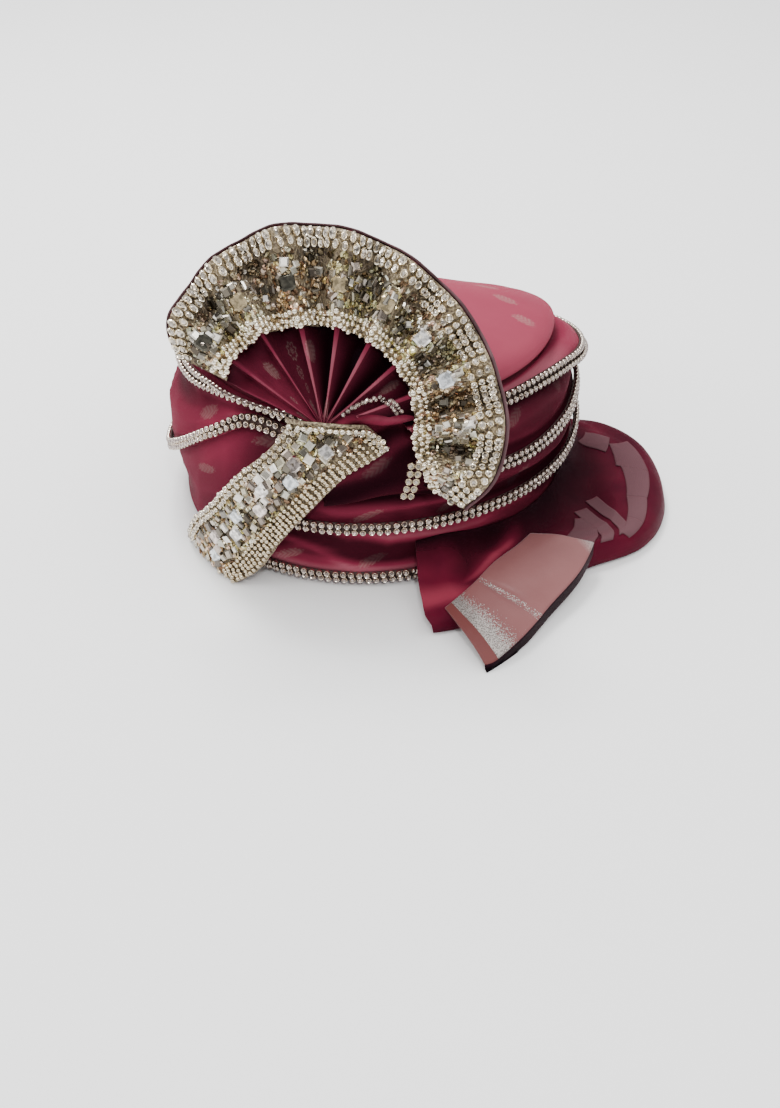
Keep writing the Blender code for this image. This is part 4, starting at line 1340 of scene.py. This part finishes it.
twist = cloth_grid(
    "front_twist_cloth", 90, 70, twist_place, lambda u, v: (u * 0.07, v * 0.055), shades=twist_shades
)
dress(twist, (maroon_silk,), wall=0.0009)
ARCH_ANGLES = (36, 35, 33, 31, 27, 20, 12)
ARCH_SHARES = (0.14, 0.21, 0.27, 0.31, 0.35, 0.385, 0.41)
arch_angles, arch_shares = (
    np.interp(np.linspace(0, 1, 200), np.linspace(0, 1, 7), values) for values in (ARCH_ANGLES, ARCH_SHARES)
)
arch_parts = []
# The arch's cups lie in shade, so their silver is painted darker
shaded_silver = plain_metal("silver in shade", (0.42, 0.33, 0.31), 0.2)
for side in (0.0, 0.0026):
    line = fan_point(arch_angles, arch_shares * FAN_RADIUS - side, 0.0065)
    spots, ahead, _ = evenly(line, 0.0031)
    arch_parts.append((spots, np.tile(FAN_FACING, (len(spots), 1)), ahead))
spots, facings, aheads = (np.concatenate(p) for p in zip(*arch_parts))
twist_trim = set_copies(
    "front_twist_beads", cup_shape, spots, tilted(facings, 0.30), np.cross(facings, aheads), 0.00125,
    (shaded_silver, bead_glass),
)

# Bead end
# A short end of the inner border's chain hangs loose from a pleat at the fan's lower right.
BEAD_END_LENGTH = 0.021
BEAD_END_DROP = 0.0015
BEAD_END_SWAY = 0.0045
BEAD_END_ROW = 0.0019
end_angle = PLEAT_PEAK - 5 * PLEAT_PITCH
hung = fan_point(
    end_angle, fan_radius(end_angle, LACE_START) - BEAD_END_DROP, lace_front + LAYER_GAP + BEADS_THICKNESS
)
parts = []
for side in (-BEAD_END_ROW, BEAD_END_ROW):
    v = (np.arange(5) + 0.5) / 5
    down = -FAN_UP * (v - v**2 / 2)[:, None] - np.array([0, 0, 1.0]) * (v**2 / 2)[:, None]
    line = hung + down * BEAD_END_LENGTH - FAN_ACROSS * (BEAD_END_SWAY * v**2)[:, None] + FAN_ACROSS * side
    parts.append(line + FAN_FACING * 0.0014)
spots = np.concatenate(parts)
set_copies(
    "fan_bead_end_cups", cup_shape, spots - FAN_FACING * 0.0012, np.tile(FAN_FACING, (len(spots), 1)),
    np.tile(FAN_UP, (len(spots), 1)), 0.0020, (silver, bead_glass), "fan_bead_end",
)

# Tail
# The free end of the turban is a sheer organza tail that leaves the back, lies on the floor beside
# the turban and comes round to the front. It is sewn in one layer, with a rounded front corner.
TAIL_THICKNESS = 0.002
TAIL_FOLD = 0.0034
TAIL_SINK = 0.0018
FLOOR_GAP = 0.0012
TAIL_REACH = 0.080
TAIL_ROLL = 0.012
TAIL_ALONG = (0.00, 0.09, 0.20, 0.32, 0.44, 0.56, 0.68, 0.80, 0.91, 1.00)
TAIL_TURNS = (126.0, 114.0, 102.0, 90.0, 78.0, 66.0, 55.0, 45.0, 36.0, 28.0)
TAIL_WALL = (0.24, 0.22, 0.20, 0.18, 0.16, 0.17, 0.19, 0.22, 0.25, 0.24)
TAIL_REACH_TURNS = (124.0, 118.8, 109.3, 98.3, 85.8, 74.7, 62.7, 49.3, 35.0, 25.4)
TAIL_REACHES = (0.38, 0.60, 0.81, 0.93, 1.00, 0.96, 0.74, 0.65, 0.76, 0.77)
TAIL_ROLLS = (0.45, 0.80, 1.00, 1.05, 1.05, 1.05, 1.25, 1.15, 0.95, 0.60)
CROSS = (0.00, 0.20, 0.45, 0.68, 0.86, 0.97, 1.00)
CROSS_WALL = (1.00, 0.45, 0.12, 0.00, 0.00, 0.00, 0.00)
CROSS_ROLL = (0.00, 0.20, 0.55, 0.90, 1.00, 0.62, 0.00)


def tail_point(along, across, lift):
    turn = follow(TAIL_ALONG, TAIL_TURNS, along)
    wall_share = follow(TAIL_ALONG, TAIL_WALL, along)
    up = (wall_share / lean(turn) - RIM_SHARE) / (tuck_height(turn, "rim") - RIM_SHARE)
    stand = FREE_OFF + (TUCKED_OFF - FREE_OFF) * up**FLARE_POWER + WRAP_BULGE * np.sin(math.pi * up)
    start = crown_point(turn, wall_share / lean(turn), stand + CLOTH + LAYER_GAP)
    reach = crown_point(
        follow(TAIL_ALONG, TAIL_REACH_TURNS, along), 0.0, TAIL_REACH * follow(TAIL_ALONG, TAIL_REACHES, along)
    )
    spot = start + (reach - start) * follow(CROSS, CROSS, across)[..., None]
    height = follow(CROSS, CROSS_WALL, across) * wall_share * CROWN_HEIGHT
    roll = follow(CROSS, CROSS_ROLL, across) * TAIL_ROLL * follow(TAIL_ALONG, TAIL_ROLLS, along)
    spot[..., 2] = np.maximum(height, 0) + np.maximum(roll, 0) + lift
    return spot


def tail_folds(along, across):
    """Broad soft folds along the tail with a few sharp creases, from 0 to 1."""
    wander = 0.5 * np.sin(along * 7.0) + 0.25 * ripples(along * 4, across * 2, 9.0)
    broad = 0.5 + 0.5 * np.sin(math.tau * (across * 1.7 + wander))
    return 0.65 * broad + 0.35 * crease(along * 5, across * 2.0, 11.0)


def tail_place(u, v):
    along = u
    # The front corner by the floor is rounded
    corner = rise(along, 0.90, 0.10) * rise(v, 0.80, 0.20) ** 2
    spots = tail_point(along - 0.012 * corner, v, TAIL_THICKNESS)
    body = np.sin(math.pi * np.clip(v, 0, 1)) ** 0.7
    folded = spots[:, 2] + (tail_folds(along, v) * TAIL_FOLD - TAIL_SINK) * body
    spots[:, 2] = np.maximum(folded, FLOOR_GAP)
    return spots


def tail_shades(u, v):
    """Deep shade by the turban's wall, and crimson light on the front lump and beside the turned end."""
    along = u
    wall = rise(v, 0.05, 0.55)
    lit = (0.05 + 0.75 * wall) * (0.55 + 0.45 * tail_folds(along, v))
    lump = rise(along, 0.87, 0.06) * rise(v, 0.02, 0.20) * fall(v, 1.04, 0.35)
    beside = 0.19 + 1.5 * (along - 0.70)
    strip = bell(along, 0.79, 0.12, 4) * bell(v, beside, 0.075)
    glow = np.maximum(lump * (0.38 + 0.42 * tail_folds(along, v)), 0.85 * strip)
    return lit + (1.75 - lit) * glow


def organza(name, deep, lit, see_through):
    """Thin crisp cloth whose dye is uneven, and which shows a little of what lies behind it."""
    material, body, read = new_material(name)
    x, y, _ = parts_of(read("UVMap", 0, uv_map="cloth"))
    painted_shading = read("Attribute", "Fac", attribute_name="painted_shading")
    colour = mix(clamp((speckle(body, 30.0, 3.0) - 0.3) * 2.0), deep, lit)
    # Painted light and shade from the sheet's shading values: over 1 a painted crimson light, under 1 painted
    # shade
    colour = mix(clamp(painted_shading - 1.0), colour, (0.40, 0.056, 0.092))
    shade = mix(math_node("MINIMUM", painted_shading, 1.0), (0.06, 0.04, 0.10), (1.0, 1.0, 1.0))
    weave = math_node("SINE", x * 4200.0) + math_node("SINE", y * 900.0)
    return finish(
        material, bump=(weave, 0.15, 0.0004), Base_Color=mix(1.0, colour, shade, "MULTIPLY"),
        Alpha=1 - see_through, Roughness=0.52, Specular_IOR_Level=0.03, Sheen_Weight=0.08,
        Sheen_Roughness=0.4, Sheen_Tint=(0.9, 0.4, 0.5),
    )


wine_organza = organza(
    "wine organza", deep=(0.075, 0.004, 0.016), lit=(0.165, 0.011, 0.030), see_through=0.06
)
tail = cloth_grid("tail_organza", 260, 80, tail_place, lambda u, v: (u, v), shades=tail_shades)
dress(tail, (wine_organza,), "tail", wall=0.0009)

# Ribbons
# Satin ribbon in dull mauve is appliqued on the tail: one length follows its rim inside the hem, and
# short lengths lie across it. Corners are given as places along and across the tail.
RIBBONS = (
    ((0.17, 0.22), (0.12, 0.46), (0.175, 0.66), (0.235, 0.50)),
    ((0.205, 0.58), (0.21, 0.80), (0.345, 0.85), (0.30, 0.56)),
    ((0.30, 0.60), (0.345, 0.85), (0.44, 0.84), (0.43, 0.66)),
    ((0.43, 0.66), (0.44, 0.84), (0.53, 0.92), (0.515, 0.76)),
    ((0.515, 0.76), (0.53, 0.92), (0.585, 0.955), (0.585, 0.86)),
    ((0.435, 0.32), (0.415, 0.40), (0.565, 0.88), (0.595, 0.90)),
    ((0.50, 0.30), (0.465, 0.36), (0.615, 0.93), (0.64, 0.93)),
    ((0.53, 0.35), (0.515, 0.42), (0.655, 0.93), (0.675, 0.62)),
)
ribbon_satin = silk("mauve satin", deep=(0.085, 0.040, 0.047), lit=(0.125, 0.066, 0.073))
for index, corners in enumerate(RIBBONS):
    first, second, third, fourth = (np.array(corner) for corner in corners)

    def ribbon_place(u, v):
        near = first[None, :] * (1 - u[:, None]) + fourth[None, :] * u[:, None]
        far = second[None, :] * (1 - u[:, None]) + third[None, :] * u[:, None]
        at = near * (1 - v[:, None]) + far * v[:, None]
        spots = tail_place(at[:, 0], at[:, 1])
        spots[:, 2] += 0.0007
        return spots

    ribbon = cloth_grid(f"tail_ribbon_{index + 1}", 30, 14, ribbon_place, lambda u, v: (u * 0.03, v * 0.01))
    dress(ribbon, (ribbon_satin,), wall=0.0004)

# Tail end
# The last hand's breadth of the tail is turned over, so its salmon satin back shows. Silver zari is
# woven in across its end, along a seam and at one corner, and its outer edge hangs down in shade.
TAIL_END_THICKNESS = 0.0024
TAIL_END_CROWNING = 0.002
END_FOLD = 0.0016
END_DROP = 0.0080
END_SLANT = 0.15
END_ALONG = (0.00, 0.25, 0.50, 0.75, 1.00)
END_EDGES = {
    "inner": (
        (64.2, 53.4, 44.0, 35.6, 29.5), (0.306, 0.375, 0.439, 0.584, 0.675),
        (1.458, 1.433, 1.358, 1.200, 0.833),
    ),
    "outer": (
        (64.0, 56.5, 47.0, 38.8, 31.7), (0.759, 0.853, 0.959, 1.114, 1.243),
        (1.375, 1.083, 0.792, 0.500, 0.100),
    ),
}


def tail_end_place(u, v):
    """The turned-over end, with a rounded tip and its outer edge rolled down."""
    along = u
    tip = rise(along, 0.93, 0.07) ** 2
    v_in = v * (1 - 0.05 * tip)
    roll = rise(v, 0.93, 0.06)
    edges = []
    for turns, reaches, heights in END_EDGES.values():
        # The turned edge slants, so the inner side starts further along
        at = END_SLANT + (1 - END_SLANT) * along if not edges else along
        edge = crown_point(follow(END_ALONG, turns, at), 0.0, TAIL_REACH * follow(END_ALONG, reaches, at))
        edge[:, 2] = TAIL_ROLL * follow(END_ALONG, heights, at)
        edges.append(edge)
    across = np.minimum(v_in / 0.935, 1.0)
    spots = edges[0] + (edges[1] - edges[0]) * across[:, None]
    soft = END_FOLD * ripples(u * 3.0, v * 2.0, 21.0) * np.sin(math.pi * v)
    dip = END_FOLD * bell(along, 0.60, 0.03) * np.sin(math.pi * v)
    spots[:, 2] += TAIL_END_THICKNESS + TAIL_END_CROWNING * np.sin(math.pi * np.minimum(v, 1)) + soft - dip
    spots[:, 2] = np.maximum(spots[:, 2] - END_DROP * roll, FLOOR_GAP)
    return spots


# Where the plain hem begins, as a share of the turned-over end
HEM_FROM = 0.925


def satin(name):
    material, body, read = new_material(name)
    x, y, _ = parts_of(read("UVMap", 0, uv_map="cloth"))
    colour = mix(speckle(body, 40.0, 3.0), (0.165, 0.050, 0.050), (0.225, 0.082, 0.080))
    # A band of zari across the lower left end fades up the satin; a dotted seam crosses higher up
    grain = speckle(body, 1250.0, 1.0)
    fade = clamp((x - 0.66) * 4.2)
    band = (fade * 0.75 + grain > 0.98) * (x < HEM_FROM)
    seam = (abs(x - 0.60) < 0.020) * (grain > 0.56)
    corner = clamp((y * 1.2 - x * 3.0 - 0.78) * 2.5)
    zari = math_node("MAXIMUM", math_node("MAXIMUM", band, seam), corner)
    glitter = clamp((speckle(body, 1900.0, 1.0) - 0.38) * 4.5)
    colour = mix(zari, colour, mix(glitter, (0.13, 0.105, 0.10), (0.50, 0.46, 0.43)))
    colour = mix(x > HEM_FROM, colour, (0.125, 0.026, 0.024))
    # Painted shade from the sheet's shading values, on the rolled edge
    shade = mix(read("Attribute", "Fac", attribute_name="painted_shading"), (0.10, 0.05, 0.06), (1.0, 1.0, 1.0))
    return finish(
        material, bump=(zari * 0.7 + grain * 0.3, 0.5, 0.0005), Metallic=zari * 0.65, Roughness=0.42,
        Base_Color=mix(1.0, colour, shade, "MULTIPLY"), Specular_IOR_Level=0.3, Sheen_Weight=0.15,
    )


def end_shades(u, v):
    """Painted shade: the outermost edge, which rolls under, is dark."""
    return 1 - 0.97 * rise(v, 0.932, 0.012)


tail_end = cloth_grid("tail_end_satin", 90, 60, tail_end_place, lambda u, v: (u, v), shades=end_shades)
# The rolled outer edge takes the wine cloth painted near black, as painted shade
shaded_underside = organza(
    "wine underside painted dark", deep=(0.014, 0.003, 0.008), lit=(0.022, 0.005, 0.011), see_through=0.0
)
cloth_places = tail_end.data.uv_layers["cloth"].data
for face in tail_end.data.polygons:
    if min(cloth_places[corner].uv[1] for corner in face.loop_indices) > 0.93:
        face.material_index = 1
dress(tail_end, (satin("salmon satin"), shaded_underside), "tail_end", wall=0.0010)
